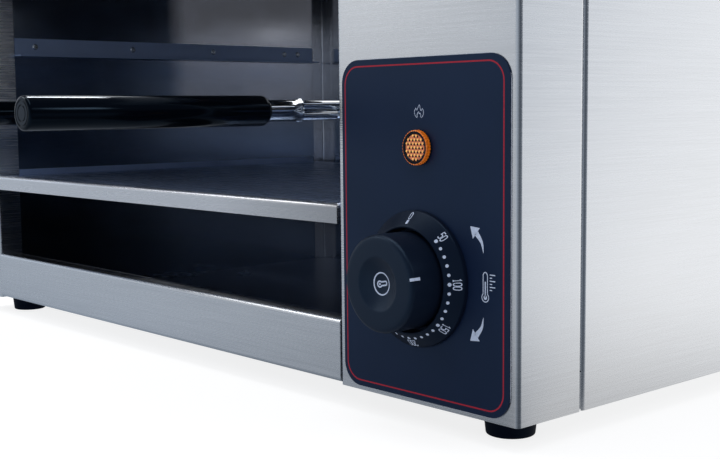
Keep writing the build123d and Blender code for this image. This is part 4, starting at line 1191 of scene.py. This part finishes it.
def surroundings(tree, vector, stops):
    """Studio round the object as its metal sees it: a ramp over the bearing, the angle whose tangent is
    x / y."""
    split = add_node(tree, "ShaderNodeSeparateXYZ", {"Vector": vector})
    bearing = reckoned(tree, "ARCTAN2", split.outputs["X"], split.outputs["Y"])
    turned = spread(tree, bearing, start=-math.pi, end=math.pi)
    ramp = add_node(tree, "ShaderNodeValToRGB", {"Fac": turned})
    elements = ramp.color_ramp.elements
    for degrees, level, blue in stops:
        place = degrees / 360 + 0.5
        element = elements[0] if place == 0 else elements[-1] if place == 1 else elements.new(place)
        element.color = (level * (1 - 0.35 * blue), level, min(1.0, level * (1 + 0.5 * blue)), 1.0)
    return split, ramp.outputs["Color"]


def seen_directly(tree, rays):
    """1 for what the camera sees itself or through something clear, and 0 for light and reflections."""
    return reckoned(tree, "MAXIMUM", rays.outputs["Is Camera Ray"], rays.outputs["Is Transmission Ray"])


def make_world(scene, ambient):
    """White surroundings at strength 1 for the camera, a soft light for matt surfaces, and for mirroring
    ones a studio with a pale back, a half-dark front, a dark opening on the right and a ceiling that is pale
    only behind."""
    world = bpy.data.worlds.new("studio_world")
    world.use_nodes = True
    scene.world = world
    tree = world.node_tree
    tree.nodes.clear()
    rays = add_node(tree, "ShaderNodeLightPath")
    direction = add_node(tree, "ShaderNodeTexCoord")
    split, around = surroundings(tree, direction.outputs["Generated"], AROUND)
    behind = spread(tree, split.outputs["Y"], start=0.54, end=0.64, ease="SMOOTHSTEP")
    overhead = spread(tree, split.outputs["Z"], start=0.2, end=0.5, ease="SMOOTHSTEP")
    ceiling = blended(tree, behind, (0.08, 0.1, 0.14), (0.93, 0.96, 1.0))
    mirrored = blended(tree, overhead, around, ceiling)
    light = [level * ambient for level in (0.92, 0.97, 1.06)]
    indirect = blended(tree, rays.outputs["Is Glossy Ray"], light, mirrored)
    colour_seen = blended(tree, seen_directly(tree, rays), indirect, (1, 1, 1))
    shader = add_node(tree, "ShaderNodeBackground", {"Color": colour_seen, "Strength": 1.0})
    add_node(tree, "ShaderNodeOutputWorld", {"Surface": shader.outputs["Background"]})


def make_floor():
    """Pale floor that shows white and keeps a light shadow of the object. Metal sees it as it sees the
    studio, and darker the nearer it is."""
    half = 6.0
    mesh = bpy.data.meshes.new("studio_floor")
    corners = [(-half, -half, 0), (half, -half, 0), (half, half, 0), (-half, half, 0)]
    mesh.from_pydata(corners, [], [(0, 1, 2, 3)])
    floor = bpy.data.objects.new("studio_floor", mesh)
    bpy.context.scene.collection.objects.link(floor)
    material = bpy.data.materials.new("studio_floor_white")
    material.use_nodes = True
    tree = material.node_tree
    tree.nodes.clear()
    rays = add_node(tree, "ShaderNodeLightPath")
    place = add_node(tree, "ShaderNodeTexCoord")
    shown = add_node(tree, "ShaderNodeBsdfDiffuse", {"Color": (0.3, 0.3, 0.3, 1)})
    glow = add_node(tree, "ShaderNodeEmission", {"Color": (1, 1, 1, 1), "Strength": 0.82})
    both = add_node(tree, "ShaderNodeAddShader", {0: shown.outputs["BSDF"], 1: glow.outputs["Emission"]})
    corner = add_node(tree, "ShaderNodeVectorMath", {0: place.outputs["Object"], 1: GROUND_CORNER},
                      operation="SUBTRACT").outputs["Vector"]
    distance = add_node(tree, "ShaderNodeVectorMath", {0: corner}, operation="LENGTH").outputs["Value"]
    mirrored = add_node(tree, "ShaderNodeEmission", {
        "Color": surroundings(tree, corner, GROUND)[1],
        "Strength": spread(tree, distance, 0.53, 1.0, 0.08, 0.45),
    })
    plain = add_node(tree, "ShaderNodeBsdfDiffuse", {"Color": (0.75, 0.75, 0.75, 1)})
    soft = add_node(tree, "ShaderNodeMixShader", {0: rays.outputs["Is Glossy Ray"], 1: plain.outputs["BSDF"],
                                                  2: mirrored.outputs["Emission"]})
    mix = add_node(tree, "ShaderNodeMixShader", {0: seen_directly(tree, rays), 1: soft.outputs["Shader"],
                                                 2: both.outputs["Shader"]})
    add_node(tree, "ShaderNodeOutputMaterial", {"Surface": mix.outputs["Shader"]})
    mesh.materials.append(material)


def make_lamps(power):
    """Plain lamps: a long one overhead, a wide one in front on the left, a small one under the cavity's roof
    for the rods, and two small ones for the highlights of the grips."""
    for name, place, aim, length, width, share in (
        ("lamp_above", (0.1, -0.35, 1.5), (0.1, 0.1, 0.1), 1.8, 0.5, 1.0),
        ("lamp_front", (-1.5, -1.25, 1.4), (0.0, 0.0, 0.1), 0.9, 0.9, 1.1),
        ("lamp_grips", (-0.52, 0.3, 1.05), (0.1, -0.26, 0.16), 0.3, 0.14, 0.6),
        ("lamp_rods", (0.095, 0.01, 0.272), (0.095, 0.01, 0.0), 0.1, 0.06, 0.006),
        ("lamp_side", (0.98, 0.3, 0.66), (0.1, -0.25, 0.16), 0.3, 0.2, 0.1),
    ):
        data = bpy.data.lights.new(name, "AREA")
        data.shape = "RECTANGLE"
        data.size, data.size_y = length, width
        data.energy = power * share
        lamp = bpy.data.objects.new(name, data)
        bpy.context.scene.collection.objects.link(lamp)
        lamp.location = place
        lamp.rotation_euler = (Vector(aim) - Vector(place)).to_track_quat("-Z", "Y").to_euler()


class GRILL_PT_panel(bpy.types.Panel):
    """Settings and builders of the grill"""

    bl_idname = "GRILL_PT_panel"
    bl_label = "Open-front grill"
    bl_space_type = "VIEW_3D"
    bl_region_type = "UI"
    bl_category = "Grill"

    def draw(self, context):
        for name, kind in SETTINGS.items():
            box = self.layout.box()
            box.label(text=kind.__doc__)
            for key in kind.__annotations__:
                box.prop(getattr(context.scene, name), key)
        for kind in OPERATORS:
            self.layout.operator(kind.bl_idname)


SETTINGS = {
    "grill_colours": GrillColours,
    "grill_grips": GripSizes,
    "grill_rack": RackSizes,
    "grill_dial": DialSizes,
    "grill_overlay": OverlaySizes,
    "grill_studio": StudioSettings,
}
OPERATORS = (GRILL_OT_studio, GRILL_OT_cad_finish, GRILL_OT_handles, GRILL_OT_rack, GRILL_OT_dial,
             GRILL_OT_overlay, GRILL_OT_lamp, GRILL_OT_feet, GRILL_OT_elements)


def register():
    """Registers the settings, the builders and the panel."""
    for kind in (*SETTINGS.values(), *OPERATORS, GRILL_PT_panel):
        bpy.utils.register_class(kind)
    for name, kind in SETTINGS.items():
        setattr(bpy.types.Scene, name, bpy.props.PointerProperty(type=kind))


def unregister():
    """Takes the settings, the builders and the panel away again."""
    for name in SETTINGS:
        delattr(bpy.types.Scene, name)
    for kind in reversed((*SETTINGS.values(), *OPERATORS, GRILL_PT_panel)):
        bpy.utils.unregister_class(kind)


def main():
    """Builds everything in order."""
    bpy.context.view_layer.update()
    register()
    for kind in OPERATORS:
        group, name = kind.bl_idname.split(".")
        getattr(getattr(bpy.ops, group), name)()
    bpy.context.view_layer.update()


if __name__ == "__main__":
    main()
